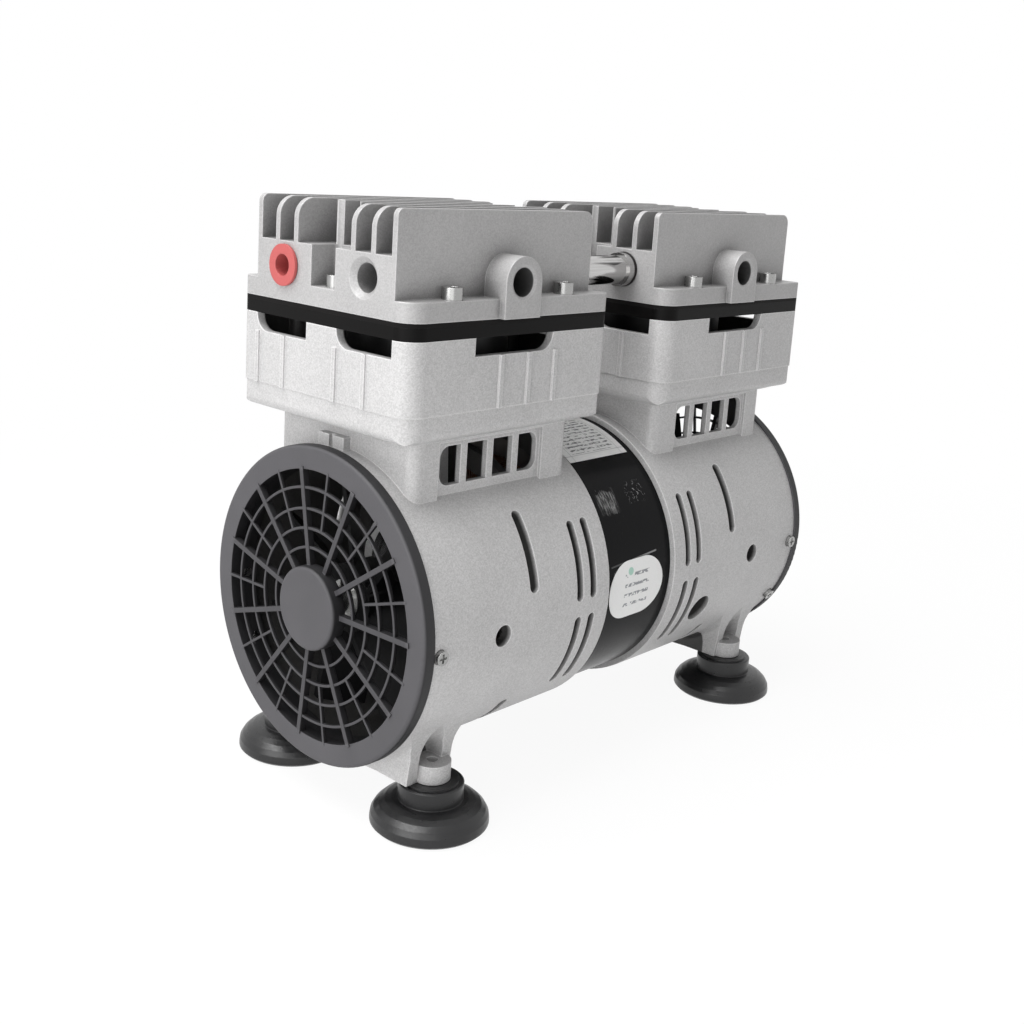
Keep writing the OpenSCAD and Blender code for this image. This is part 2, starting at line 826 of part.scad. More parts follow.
module guard_grille() {
    x0 = drum_out_x + guard_t + grille_proud - grille_t;
    x1 = drum_out_x + guard_t + grille_proud;
    for (k = [0 : main_rib_count - 1]) {
        at_angle(rib_angle + k * 360 / main_rib_count)
            box(x0, x1, -guard_open_d / 2 - fine_rib_w, -guard_hub_d / 2 + hub_edge_r,
                shaft_z - main_rib_w / 2, shaft_z + main_rib_w / 2);
        at_angle(rib_angle + (k + 0.5) * 360 / main_rib_count)
            box(x0 + fine_rib_w, x1 - fine_rib_step, -guard_open_d / 2 - fine_rib_w,
                -guard_d * guard_ring_shares[fine_rib_from] / 2,
                shaft_z - fine_rib_w / 2, shaft_z + fine_rib_w / 2);
    }
    for (d = guard_d * guard_ring_shares) {
        difference() {
            x_rod(d / 2 + fine_rib_w / 2, x0 + fine_rib_w, x1 - fine_rib_step);
            x_rod(d / 2 - fine_rib_w / 2, x0, x1 + over);
        }
    }
}

// Radius and distance from the drum's end, turned about the shaft
module guard_ring() {
    translate([drum_out_x, 0, shaft_z]) rotate([0, 90, 0]) rotate_extrude() {
        difference() {
            union() {
                translate([guard_open_d / 2, 0]) square([guard_rim_w, guard_t - guard_edge_r]);
                translate([guard_open_d / 2, 0]) square([guard_rim_w - guard_edge_r, guard_t]);
                translate([guard_d / 2 - guard_edge_r, guard_t - guard_edge_r]) circle(r = guard_edge_r);
                translate([drum_bore_r - seat_gap - guard_skirt_t, -guard_skirt_l])
                    square([guard_skirt_t, guard_skirt_l + over]);
            }
        }
    }
}

module guard_hub() {
    hub_r = guard_hub_d / 2;
    hub_back = guard_t + grille_proud - grille_t;
    translate([drum_out_x, 0, shaft_z]) rotate([0, 90, 0]) rotate_extrude() {
        difference() {
            union() {
                translate([0, hub_back]) square([hub_r, guard_t + hub_proud - hub_edge_r - hub_back]);
                translate([0, hub_back]) square([hub_r - hub_edge_r, guard_t + hub_proud - hub_back]);
                translate([hub_r - hub_edge_r, guard_t + hub_proud - hub_edge_r]) circle(r = hub_edge_r);
            }
            square([hub_r - hub_skin, guard_t + hub_proud - hub_skin]);
        }
    }
}

module guard() {
    difference() {
        union() {
            guard_grille();
            guard_ring();
            guard_hub();
        }
        for (a = guard_screw_angles) {
            at_angle(a) y_rod(guard_screw_d / 2 + fit_gap, -drum_bore_r - over,
                              -drum_bore_r + guard_skirt_t + over, guard_screw_x, shaft_z);
        }
    }
}

module front_fan_guard() {
    color([0.27, 0.27, 0.29]) front() guard();
}

module rear_fan_guard() {
    color([0.27, 0.27, 0.29]) mirror([0, 1, 0]) guard();
}

module guard_screw() {
    y_rod(guard_screw_d / 2, -drum_r, -drum_bore_r + seat_gap + guard_skirt_t, guard_screw_x, shaft_z);
    difference() {
        y_rod(guard_screw_head_d / 2, -drum_r - guard_screw_head_h, -drum_r + spot_face,
              guard_screw_x, shaft_z);
        for (b = [0, 90]) {
            translate([guard_screw_x, 0, shaft_z]) rotate([0, b, 0])
                translate([-guard_screw_x, 0, -shaft_z])
                    box(guard_screw_x - guard_screw_d / 2, guard_screw_x + guard_screw_d / 2,
                        -drum_r - guard_screw_head_h - over, -drum_r - guard_screw_head_h / 2,
                        shaft_z - clip_t / 2, shaft_z + clip_t / 2);
        }
    }
}

module guard_screws() {
    color("gainsboro") for (way = [0, 1]) {
        mirror([1 - way, 0, 0]) mirror([0, way, 0]) for (a = guard_screw_angles) at_angle(a) guard_screw();
    }
}

// Motor

module stator_core() {
    color([0.12, 0.12, 0.13]) difference() {
        x_rod(stator_d / 2, -stator_x, stator_x);
        x_rod(stator_bore_d / 2, -stator_x - over, stator_x + over);
        for (a = stator_bolt_angles) {
            at_angle(a)
                x_rod(stator_bolt_d / 2 + bolt_gap, -stator_x - over, stator_x + over, -stator_bolt_r);
        }
    }
}

module stator_film() {
    color([0.05, 0.05, 0.06]) difference() {
        x_rod(stator_d / 2 + film_t, -drum_in_x + seat_gap, drum_in_x - seat_gap);
        x_rod(stator_d / 2, -drum_in_x, drum_in_x);
    }
}

// Thin labels stuck on the film
module name_plate() {
    color([0.7, 0.7, 0.72]) translate([-plate_l / 2, 0, shaft_z]) rotate([0, 90, 0]) rotate([0, 0, -90])
        rotate([0, 0, -name_angles[1]]) rotate_extrude(angle = name_angles[1] - name_angles[0])
            translate([stator_d / 2 + film_t, 0]) square([label_t, plate_l]);
}

module round_label() {
    r = stator_d / 2 + film_t;
    color("whitesmoke") intersection() {
        difference() {
            x_rod(r + label_t, -drum_in_x, drum_in_x);
            x_rod(r, -drum_in_x - over, drum_in_x + over);
        }
        at_angle(label_angle) translate([label_x, -r / 2, shaft_z]) rotate([90, 0, 0]) linear_extrude(r) {
            square([label_w - label_h, label_h], center = true);
            for (s = [-1, 1]) translate([s * (label_w - label_h) / 2, 0]) circle(r = label_h / 2);
        }
    }
}

module stator_windings() {
    color([0.72, 0.36, 0.16]) both_ends() {
        translate([stator_x, 0, shaft_z]) rotate([0, 90, 0]) rotate_extrude() {
            r0 = stator_bore_d / 2 + film_t;
            r1 = winding_d / 2;
            translate([r0, 0]) square([r1 - r0, winding_l - (r1 - r0) / 3]);
            translate([r0 + (r1 - r0) / 3, 0]) square([(r1 - r0) / 3, winding_l]);
            for (r = [r0 + (r1 - r0) / 3, r1 - (r1 - r0) / 3]) {
                translate([r, winding_l - (r1 - r0) / 3]) circle(r = (r1 - r0) / 3);
            }
        }
    }
}

module stator_bolts() {
    color("silver") for (a = stator_bolt_angles) {
        at_angle(a) {
            x_rod(stator_bolt_d / 2, -web_x - web_t, web_x, -stator_bolt_r);
            difference() {
                x_rod(stator_bolt_head_d / 2, -web_x - web_t - stator_bolt_head_h, -web_x - web_t,
                      -stator_bolt_r);
                x_rod(stator_bolt_d / 2 - bolt_gap, -web_x - web_t - stator_bolt_head_h - over,
                      -web_x - web_t - stator_bolt_head_h / 2, -stator_bolt_r, $fn = 6);
            }
        }
    }
}

// Ball bearing as one ring with the shield grooves of its two faces
module bearing(r0, r1, x0, x1, z) {
    mid = (r0 + r1) / 2;
    difference() {
        x_rod(r1, x0, x1, 0, z);
        x_rod(r0, x0 - over, x1 + over, 0, z);
        for (x = [x0 - over, x1 - brg_groove_depth]) {
            difference() {
                x_rod(mid + brg_groove_w, x, x + over + brg_groove_depth, 0, z);
                x_rod(mid - brg_groove_w, x - over, x + over + brg_groove_depth + over, 0, z);
            }
        }
    }
}

module main_bearing() {
    bearing(shaft_d / 2 + run_gap, main_brg_d / 2 - fit_gap / 2,
            main_brg_x, main_brg_x + main_brg_w, shaft_z);
}

module front_main_bearing() {
    color("lightsteelblue") front() main_bearing();
}

module rear_main_bearing() {
    color("lightsteelblue") main_bearing();
}

// Cylinder

module sleeve() {
    difference() {
        z_rod(bore_d / 2 + sleeve_wall, deck_z + deck_lip, plate_z, cyl_x);
        z_rod(bore_d / 2, deck_z, plate_z + over, cyl_x);
    }
}

module front_cylinder() {
    color("lightgrey") front() sleeve();
}

module rear_cylinder() {
    color("lightgrey") sleeve();
}

// Valves

module valve_holes(side) {
    for (k = [0, 1]) {
        z_rod(valve_hole_d / 2, plate_z - over, gasket_z + over,
              reed_x + reed_l - valve_hole_pitch * (k + 1), side * reed_y);
    }
}

module valve_plate(mirrored) {
    difference() {
        box_slab(box_len, box_w, plate_z, gasket_z, mirrored);
        bolt_places() z_rod(bolt_d / 2 + bolt_gap, plate_z - over, gasket_z + over);
        for (s = [-1, 1]) valve_holes(s);
        z_rod(clamp_screw_d / 2 + fit_gap, plate_z - over, gasket_z + over, reed_x - clamp_l / 2, reed_y);
        z_rod(clamp_screw_d / 2 + fit_gap, plate_z - over, gasket_z + over, reed_x - clamp_l / 2, -reed_y);
    }
}

module front_valve_plate() {
    color([0.09, 0.09, 0.1]) front() valve_plate(true);
}

module rear_valve_plate() {
    color([0.09, 0.09, 0.1]) valve_plate(false);
}

module chamber_outline(side) {
    l = box_len - 2 * chamber_end;
    w = wall_w / 2 - chamber_wall - chamber_mid / 2;
    translate([cyl_x, side * (chamber_mid / 2 + w / 2)]) round_rect(l, w, chamber_r);
}

module head_gasket(mirrored) {
    difference() {
        box_slab(box_len, box_w, gasket_z, head_z, mirrored);
        bolt_places() z_rod(bolt_d / 2 + bolt_gap, gasket_z - over, head_z + over);
        for (s = [-1, 1]) {
            translate([0, 0, gasket_z - over]) linear_extrude(gasket_t + 2 * over) chamber_outline(s);
        }
    }
}

module front_head_gasket() {
    color([0.16, 0.15, 0.15]) front() head_gasket(true);
}

module rear_head_gasket() {
    color([0.16, 0.15, 0.15]) head_gasket(false);
}

// The inlet reed hangs under the plate and the outlet reed lies on it. Its root edge is rounded
// about the line that it bends on.
module reed(side) {
    z = side > 0 ? plate_z - reed_t : gasket_z;
    box(reed_x, reed_x + reed_l - reed_w / 2, side * reed_y - reed_w / 2, side * reed_y + reed_w / 2,
        z, z + reed_t);
    z_rod(reed_w / 2, z, z + reed_t, reed_x + reed_l - reed_w / 2, side * reed_y);
    y_rod(reed_t / 2, side * reed_y - reed_w / 2, side * reed_y + reed_w / 2, reed_x, z + reed_t / 2);
}

module front_intake_reed() {
    color("lightslategray") front() reed(1);
}

module front_exhaust_reed() {
    color("lightslategray") front() reed(-1);
}

module rear_intake_reed() {
    color("lightslategray") reed(1);
}

module rear_exhaust_reed() {
    color("lightslategray") reed(-1);
}

// Curved stop above the outlet reed, drawn as (x, z)
module reed_stop() {
    y_prism(-reed_y - reed_w / 2, -reed_y + reed_w / 2) polygon([
        [reed_x - clamp_l, gasket_z], [reed_x - seat_gap, gasket_z],
        [reed_x - seat_gap, gasket_z + relief_gap / 2], [reed_x + reed_l, gasket_z + stop_rise],
        [reed_x + reed_l, gasket_z + stop_rise + stop_t], [reed_x, gasket_z + relief_gap / 2 + stop_t],
        [reed_x - clamp_l, gasket_z + relief_gap / 2 + stop_t]
    ]);
}

module reed_stops() {
    color("silver") both_ends() difference() {
        reed_stop();
        z_rod(clamp_screw_d / 2 + fit_gap, gasket_z - over, gasket_z + stop_rise + stop_t,
              reed_x - clamp_l / 2, -reed_y);
    }
}

// Clamp under the plate that holds the root of the inlet reed
module reed_clamps() {
    color("silver") both_ends() difference() {
        box(reed_x - clamp_l, reed_x - seat_gap, reed_y - reed_w / 2, reed_y + reed_w / 2,
            plate_z - clamp_t, plate_z);
        z_rod(clamp_screw_d / 2 + fit_gap, plate_z - clamp_t - over, plate_z + over,
              reed_x - clamp_l / 2, reed_y);
    }
}

module reed_screws() {
    x = reed_x - clamp_l / 2;
    top = gasket_z + relief_gap / 2 + stop_t;
    color("gainsboro") both_ends() {
        z_rod(clamp_screw_d / 2, plate_z, top, x, -reed_y);
        z_rod(clamp_screw_d, top, top + clamp_t, x, -reed_y);
        z_rod(clamp_screw_d / 2, plate_z - clamp_t, gasket_z, x, reed_y);
        z_rod(clamp_screw_d, gasket_z, gasket_z + clamp_t, x, reed_y);
    }
}

// Cylinder head

// One fin drawn as (x, z), with its two upper corners rounded by r0 and r1
module fin_outline(r0, r1) {
    l = block_x1 - box_x0;
    low = fin_h + over - fin_corner_r;
    translate([box_x0, block_z - over]) {
        square([l, low]);
        translate([r0, 0]) square([l - r0 - r1, fin_h + over]);
        square([r0 + over, fin_h + over - r0]);
        translate([l - r1 - over, 0]) square([r1 + over, fin_h + over - r1]);
        translate([r0, fin_h + over - r0]) circle(r = r0);
        translate([l - r1, fin_h + over - r1]) circle(r = r1);
    }
}

module fins() {
    for (k = [0 : fin_count - 1]) {
        y = (k - (fin_count - 1) / 2) * -fin_pitch;
        outer = k == 0 || k == fin_count - 1;
        y_prism(y - fin_t / 2, y + fin_t / 2)
            fin_outline(outer ? wall_corner_r : fin_corner_r, tail_corner_r);
    }
}

module side_boss() {
    y_rod(side_boss_d / 2, -side_boss_y, -wall_w / 2 + over, cyl_x, port_z);
    box(cyl_x - side_boss_d / 2, cyl_x + side_boss_d / 2, -side_boss_y, -wall_w / 2 + over, head_z, port_z);
}

module end_port(x, dir, y) {
    a = dir > 0 ? x - chamber_end - over : x - over;
    b = dir > 0 ? x + over : x + chamber_end + over;
    x_rod(port_d / 2, a, b, y, port_z);
    translate([x, y, port_z]) rotate([0, dir * 90, 0]) translate([0, 0, -sink_depth])
        cylinder(r1 = port_d / 2, r2 = sink_d / 2, h = sink_depth + fit_gap);
}

module side_port() {
    y_rod(port_d / 2, -side_boss_y - over, -wall_w / 2 + chamber_wall + over, cyl_x, port_z);
    translate([cyl_x, -side_boss_y, port_z]) rotate([90, 0, 0]) translate([0, 0, -side_sink_depth])
        cylinder(r1 = port_d / 2, r2 = side_sink_d / 2, h = side_sink_depth + fit_gap);
}

// Recess for an end bolt, which also cuts back the fin behind it
module end_recess(x) {
    translate([x, 0, flange_z]) linear_extrude(block_h + fin_h + over)
        round_rect(2 * recess_l, recess_w, recess_r);
}

module head() {
    difference() {
        union() {
            box_slab(box_len, box_w, head_z, flange_z, false);
            box(box_x0, block_x1, -wall_w / 2, wall_w / 2, flange_z - over, block_z);
            fins();
            both_sides() side_boss();
        }
        for (s = [-1, 1]) translate([0, 0, head_z - over])
            linear_extrude(flange_t + block_h - chamber_roof + over) chamber_outline(s);
        for (y = [-port_y, port_y]) {
            end_port(box_x0, -1, y);
            end_port(block_x1, 1, y);
            x_rod(sink_d / 2, block_x1, box_x1 + over, y, port_z);
        }
        both_sides() side_port();
        end_recess(box_x0);
        end_recess(block_x1);
        bolt_places() z_rod(bolt_d / 2 + bolt_gap, head_z - over, flange_z + over);
    }
}

// Both heads are the same casting, set the same way round
module front_head() {
    color([0.78, 0.78, 0.79]) translate([-2 * cyl_x, 0, 0]) head();
}

module rear_head() {
    color([0.78, 0.78, 0.79]) head();
}

module head_bolt() {
    z_rod(bolt_d / 2, flange_z - bolt_l, flange_z);
    difference() {
        z_rod(bolt_head_d / 2, flange_z, flange_z + bolt_head_h);
        translate([0, 0, flange_z + bolt_head_h - socket_depth])
            cylinder(r = socket_af / sqrt(3), h = socket_depth + over, $fn = 6);
    }
}

module head_bolts() {
    color("gainsboro") both_ends() bolt_places() head_bolt();
}

// Transfer tubes

module transfer_tube(y) {
    x0 = tube_x0 + ring_stand;
    x1 = tube_x1 - ring_stand;
    difference() {
        union() {
            x_rod(tube_d / 2, x0, x1, y, port_z);
            x_rod(port_d / 2 - seat_gap, tube_x0 - spigot_l, tube_x1 + spigot_l, y, port_z);
            x_rod(collar_d / 2, x0, x0 + collar_l, y, port_z);
            x_rod(collar_d / 2, x1 - collar_l, x1, y, port_z);
        }
        x_rod(port_d / 2 - seat_gap - tube_wall, tube_x0 - spigot_l - over, tube_x1 + spigot_l + over,
              y, port_z);
    }
}

module left_transfer_tube() {
    color([0.85, 0.86, 0.88]) transfer_tube(port_y);
}

module right_transfer_tube() {
    color([0.85, 0.86, 0.88]) transfer_tube(-port_y);
}

// Rubber rings that sit in the countersinks under the collars
module tube_seals() {
    color([0.08, 0.08, 0.08]) for (x = [tube_x0 + ring_lift, tube_x1 - ring_lift], y = [-port_y, port_y]) {
        translate([x, y, port_z]) rotate([0, 90, 0]) rotate_extrude()
            translate([port_d / 2 + ring_t / 2, 0]) circle(r = ring_t / 2);
    }
}

// Feet

module foot() {
    neck_r = cup_neck_d / 2;
    cup_r = cup_d / 2;
    difference() {
        translate([foot_x, -foot_y, 0]) rotate_extrude() polygon(concat(
            [[0, cup_lip_t * 2], [neck_r, cup_lip_t], [cup_r - cup_lip_t, 0], [cup_r - cup_lip_t / 2, 0],
             [cup_r, cup_lip_t / 2], [cup_r, cup_lip_t]],
            [for (p = cup_dome_shares)
                [neck_r + (cup_r - neck_r) * p[0], cup_lip_t + (cup_shoulder_h - cup_lip_t) * p[1]]],
            [[neck_r, cup_shoulder_h], [neck_r, foot_h - cup_step - cup_lip_t / 4],
             [neck_r - cup_lip_t / 4, foot_h - cup_step], [neck_r - cup_lip_t, foot_h - cup_step],
             [neck_r - cup_lip_t, foot_h], [0, foot_h]]
        ));
        z_rod(foot_tap_d / 2 + fit_gap, foot_h / 2, foot_h + over, foot_x, -foot_y);
    }
}

module front_left_foot() {
    color([0.13, 0.13, 0.14]) front() mirror([0, 1, 0]) foot();
}

module front_right_foot() {
    color([0.13, 0.13, 0.14]) front() foot();
}

module rear_left_foot() {
    color([0.13, 0.13, 0.14]) mirror([0, 1, 0]) foot();
}

module rear_right_foot() {
    color([0.13, 0.13, 0.14]) foot();
}

module foot_studs() {
    color("silver") both_ends() both_sides()
        z_rod(foot_tap_d / 2 - fit_gap, foot_h / 2, boss_bottom + boss_h * 0.7, foot_x, -foot_y);
}

// Plug of the front end's left port

module port_plug() {
    x = box_x1 + plug_gap;
    r = port_d / 2 - plug_gap;
    color([0.85, 0.3, 0.3]) front() difference() {
        union() {
            x_rod(r, x - plug_l, x + plug_flange_t, port_y, port_z);
            x_rod(plug_flange_d / 2, x, x + plug_flange_t, port_y, port_z);
        }
        x_rod(plug_hole_d / 2, x - plug_l + plug_floor, x + plug_flange_t + over, port_y, port_z);
    }
}

// Shaft and what turns with it

module motor_shaft() {
    color("silver") {
        x_rod(shaft_d / 2, -weight_x + seat_gap, weight_x - seat_gap);
        x_rod(stub_d / 2, -shaft_end_x, shaft_end_x);
    }
}

module rotor_core() {
    color([0.45, 0.46, 0.48]) difference() {
        x_rod(rotor_d / 2, -stator_x, stator_x);
        x_rod(shaft_d / 2, -stator_x - over, stator_x + over);
    }
}

// The crank pin points up on the front end and down on the rear end
module eccentric(pin) {
    pin_z = shaft_z + pin * crank_throw;
    difference() {
        union() {
            x_rod(weight_hub_r, weight_x, weight_x + weight_t);
            intersection() {
                x_rod(weight_r, weight_x, weight_x + weight_t);
                x_prism(weight_x, weight_x + weight_t) translate([0, shaft_z])
                    mirror([0, pin > 0 ? 1 : 0]) polygon([
                    [-weight_hub_r, 0], [weight_hub_r, 0],
                    [weight_r, weight_r * weight_share], [weight_r, weight_r], [-weight_r, weight_r],
                    [-weight_r, weight_r * weight_share]
                ]);
            }
            x_rod(shoulder_r, weight_x + weight_t - over, shoulder_x, 0, pin_z);
            x_rod(rod_brg_bore / 2, shoulder_x - over, crank_end_x, 0, pin_z);
        }
        x_rod(stub_d / 2 + fit_gap / 2, weight_x - over, crank_end_x + over);
        translate([weight_x + weight_t / 2, 0, shaft_z]) rotate([pin > 0 ? 180 : 0, 0, 0])
            cylinder(r = set_screw_d / 2, h = weight_r + over);
    }
}

module front_eccentric() {
    color([0.4, 0.4, 0.42]) front() eccentric(1);
}

module rear_eccentric() {
    color([0.4, 0.4, 0.42]) eccentric(-1);
}

module crank_washer(pin) {
    difference() {
        x_rod(washer_r, crank_end_x, crank_end_x + washer_t, 0, shaft_z + pin * crank_throw / 2);
        x_rod(stub_d / 2 + fit_gap, crank_end_x - over, crank_end_x + washer_t + over);
    }
}

module crank_washers() {
    color("silver") {
        crank_washer(-1);
        front() crank_washer(1);
    }
}

module blade() {
    intersection() {
        difference() {
            x_rod(fan_d / 2, fan_x, fan_x + fan_l);
            x_rod(fan_hub_d / 2 - over, fan_x - over, fan_x + fan_l + over);
        }
        translate([fan_x + fan_l / 2, 0, shaft_z]) rotate([0, blade_pitch, 0])
            translate([-fan_l, -fan_d / 2, -blade_t / 2]) cube([2 * fan_l, fan_d / 2, blade_t]);
    }
}

module fan() {
    tube_x = crank_end_x + washer_t;
    difference() {
        union() {
            x_rod(stub_d / 2 + fan_bore_wall, tube_x, fan_x + fan_l);
            difference() {
                x_rod(fan_hub_d / 2, fan_x, fan_x + fan_l);
                x_rod(fan_hub_d / 2 - blade_t, fan_x - over, fan_x + fan_l - blade_t);
            }
            for (k = [0 : blade_count - 1]) at_angle(k * 360 / blade_count) blade();
        }
        x_rod(stub_d / 2 + fit_gap / 2, tube_x - over, fan_x + fan_l + over);
    }
}

module front_fan() {
    color([0.1, 0.1, 0.11]) front() fan();
}

module rear_fan() {
    color([0.1, 0.1, 0.11]) fan();
}

module fan_clips() {
    color("silver") both_ends() difference() {
        x_rod(clip_d / 2, fan_x + fan_l, fan_x + fan_l + clip_t);
        x_rod(stub_d / 2 + fit_gap / 2, fan_x + fan_l - over, fan_x + fan_l + clip_t + over);
        box(fan_x, fan_x + fan_l + clip_t + over, -stub_d / 4, stub_d / 4, shaft_z, shaft_z + clip_d);
    }
}

// Rod, piston disc and seal, for a pin that is up (1) or down (-1)

function pin_height(pin) = shaft_z + pin * crank_throw;
function crown(pin) = plate_z - crown_gap - crank_throw + pin * crank_throw;

module rod(pin) {
    pin_z = pin_height(pin);
    piston_z = crown(pin) - retainer_t - seal_t - piston_t;
    difference() {
        union() {
            x_rod(rod_brg_d / 2 + big_end_wall, cyl_x - rod_w / 2, cyl_x + rod_w / 2, 0, pin_z);
            x_prism(cyl_x - rod_w / 2, cyl_x + rod_w / 2) polygon([
                [-beam_w0 / 2, pin_z + rod_brg_d / 2], [beam_w0 / 2, pin_z + rod_brg_d / 2],
                [beam_w1 / 2, piston_z + over], [-beam_w1 / 2, piston_z + over]
            ]);
            z_rod(piston_boss_d / 2, piston_z - piston_boss_h, piston_z + over, cyl_x);
            z_rod(piston_d / 2, piston_z, piston_z + piston_t, cyl_x);
        }
        x_rod(rod_brg_d / 2, cyl_x - rod_w, cyl_x + rod_w, 0, pin_z);
        for (x = [cyl_x - rod_w, cyl_x + beam_web_t / 2]) {
            x_prism(x, x + rod_w - beam_web_t / 2) polygon([
                [-beam_w0 / 2 + beam_flange, pin_z + rod_brg_d / 2 + big_end_wall + beam_flange / 2],
                [beam_w0 / 2 - beam_flange, pin_z + rod_brg_d / 2 + big_end_wall + beam_flange / 2],
                [beam_w1 / 2 - beam_flange, piston_z - piston_boss_h - beam_flange],
                [-beam_w1 / 2 + beam_flange, piston_z - piston_boss_h - beam_flange]
            ]);
        }
        z_rod(cap_screw_d / 2 + fit_gap, piston_z - piston_boss_h, crown(pin), cyl_x);
    }
}

module front_connecting_rod() {
    color([0.7, 0.71, 0.73]) front() rod(1);
}

module rear_connecting_rod() {
    color([0.7, 0.71, 0.73]) rod(-1);
}

module rod_bearing(pin) {
    bearing(rod_brg_bore / 2 + run_gap, rod_brg_d / 2 - fit_gap / 2,
            cyl_x - rod_brg_w / 2 + run_gap, cyl_x + rod_brg_w / 2 - run_gap, pin_height(pin));
}

module front_rod_bearing() {
    color("lightsteelblue") front() rod_bearing(1);
}

module rear_rod_bearing() {
    color("lightsteelblue") rod_bearing(-1);
}

module cup_seal(pin) {
    z = crown(pin) - retainer_t - seal_t;
    difference() {
        union() {
            z_rod(seal_d / 2 - seal_t, z, z + seal_t, cyl_x);
            translate([cyl_x, 0, z]) rotate_extrude() polygon([
                [seal_d / 2 - 2 * seal_t, 0], [seal_d / 2 - seal_t, 0], [seal_d / 2, seal_lip_h],
                [seal_d / 2 - seal_t / 2, seal_lip_h], [seal_d / 2 - 2 * seal_t, seal_t]
            ]);
        }
        z_rod(cap_screw_d / 2 + fit_gap, z - over, z + seal_t + over, cyl_x);
    }
}

module front_cup_seal() {
    color([0.75, 0.6, 0.35]) front() cup_seal(1);
}

module rear_cup_seal() {
    color([0.75, 0.6, 0.35]) cup_seal(-1);
}

module retainer(pin) {
    difference() {
        z_rod(retainer_d / 2, crown(pin) - retainer_t, crown(pin), cyl_x);
        z_rod(cap_screw_d / 2 + fit_gap, crown(pin) - retainer_t - over, crown(pin) + over, cyl_x);
        z_rod(cap_screw_head_d / 2 + seat_gap, crown(pin) - cap_screw_head_h, crown(pin) + over, cyl_x);
    }
}

module front_seal_retainer() {
    color("silver") front() retainer(1);
}

module rear_seal_retainer() {
    color("silver") retainer(-1);
}

module retainer_screw(pin) {
    top = crown(pin);
    z_rod(cap_screw_d / 2, top - retainer_t - seal_t - piston_t, top - cap_screw_head_h, cyl_x);
    difference() {
        z_rod(cap_screw_head_d / 2, top - cap_screw_head_h, top, cyl_x);
        translate([cyl_x, 0, top - cap_screw_head_h / 2])
            cylinder(r = cap_screw_d / 2 * 0.9, h = cap_screw_head_h, $fn = 6);
    }
}

module front_retainer_screw() {
    color("dimgray") front() retainer_screw(1);
}

module rear_retainer_screw() {
    color("dimgray") retainer_screw(-1);
}

front_crankcase();
rear_crankcase();
front_fan_guard();
rear_fan_guard();
guard_screws();
stator_core();
stator_film();
name_plate();
round_label();
stator_windings();
stator_bolts();
front_main_bearing();
rear_main_bearing();
front_cylinder();
rear_cylinder();
front_valve_plate();
rear_valve_plate();
front_head_gasket();
rear_head_gasket();
front_head();
rear_head();
head_bolts();
left_transfer_tube();
right_transfer_tube();
tube_seals();
reed_stops();
reed_clamps();
reed_screws();
front_left_foot();
front_right_foot();
rear_left_foot();
rear_right_foot();
foot_studs();
front_intake_reed();
front_exhaust_reed();
rear_intake_reed();
rear_exhaust_reed();
port_plug();
motor_shaft();
rotor_core();
front_eccentric();
rear_eccentric();
crank_washers();
front_fan();
rear_fan();
fan_clips();
front_connecting_rod();
front_rod_bearing();
front_cup_seal();
front_seal_retainer();
front_retainer_screw();
rear_connecting_rod();
rear_rod_bearing();
rear_cup_seal();
rear_seal_retainer();
rear_retainer_screw();
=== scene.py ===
"""Finishes, studio and camera for a twin-ended oil-free piston vacuum pump.

Metres and degrees, X along the motor shaft with the plugged end at -X, Z up, feet on Z = 0.
The sections follow the pump as it is put together on the bench.
"""

import json
import math

import bpy
from mathutils import Matrix, Vector


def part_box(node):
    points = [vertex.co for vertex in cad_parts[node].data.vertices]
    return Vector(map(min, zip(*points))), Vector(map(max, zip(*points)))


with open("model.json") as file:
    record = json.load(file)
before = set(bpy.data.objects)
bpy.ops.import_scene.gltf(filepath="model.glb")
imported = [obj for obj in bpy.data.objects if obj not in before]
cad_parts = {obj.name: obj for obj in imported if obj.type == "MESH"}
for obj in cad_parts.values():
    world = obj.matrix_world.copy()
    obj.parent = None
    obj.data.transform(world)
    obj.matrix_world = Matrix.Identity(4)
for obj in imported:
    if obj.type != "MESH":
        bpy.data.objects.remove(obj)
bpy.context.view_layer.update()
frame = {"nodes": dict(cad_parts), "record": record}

# Studio
# A plain white table and surround, a broad soft light from the plugged end, a weaker one
# from the tube side and one from above. The camera stands where the photographer's stood.

scene = bpy.context.scene
scene.view_settings.view_transform = "Standard"


class Varying:
    """A number that changes over a surface. Arithmetic on it adds Math nodes."""

    def __init__(self, nodes, socket):
        self.nodes = nodes
        self.socket = socket

    def __add__(self, other):
        return self.nodes.math("ADD", self, other)

    def __radd__(self, other):
        return self.nodes.math("ADD", other, self)

    def __sub__(self, other):
        return self.nodes.math("SUBTRACT", self, other)

    def __rsub__(self, other):
        return self.nodes.math("SUBTRACT", other, self)

    def __mul__(self, other):
        return self.nodes.math("MULTIPLY", self, other)

    def __rmul__(self, other):
        return self.nodes.math("MULTIPLY", other, self)

    def __pow__(self, other):
        return self.nodes.math("POWER", self, other)

    def __abs__(self):
        return self.nodes.math("ABSOLUTE", self)

    def clamped(self):
        """The same number, kept between 0 and 1."""
        return self.nodes.math("MULTIPLY", self, 1.0, clamp=True)

    def over(self, start, full):
        """0 below start, 1 above full (or the other way round), with a soft step between."""
        return self.nodes.math("MULTIPLY", self - start, 1.0 / (full - start), clamp=True)

    def within(self, centre, half_width, soft):
        """1 where the value is nearer to centre than half_width, 0 a little further out."""
        return abs(self - centre).over(half_width + soft, half_width)


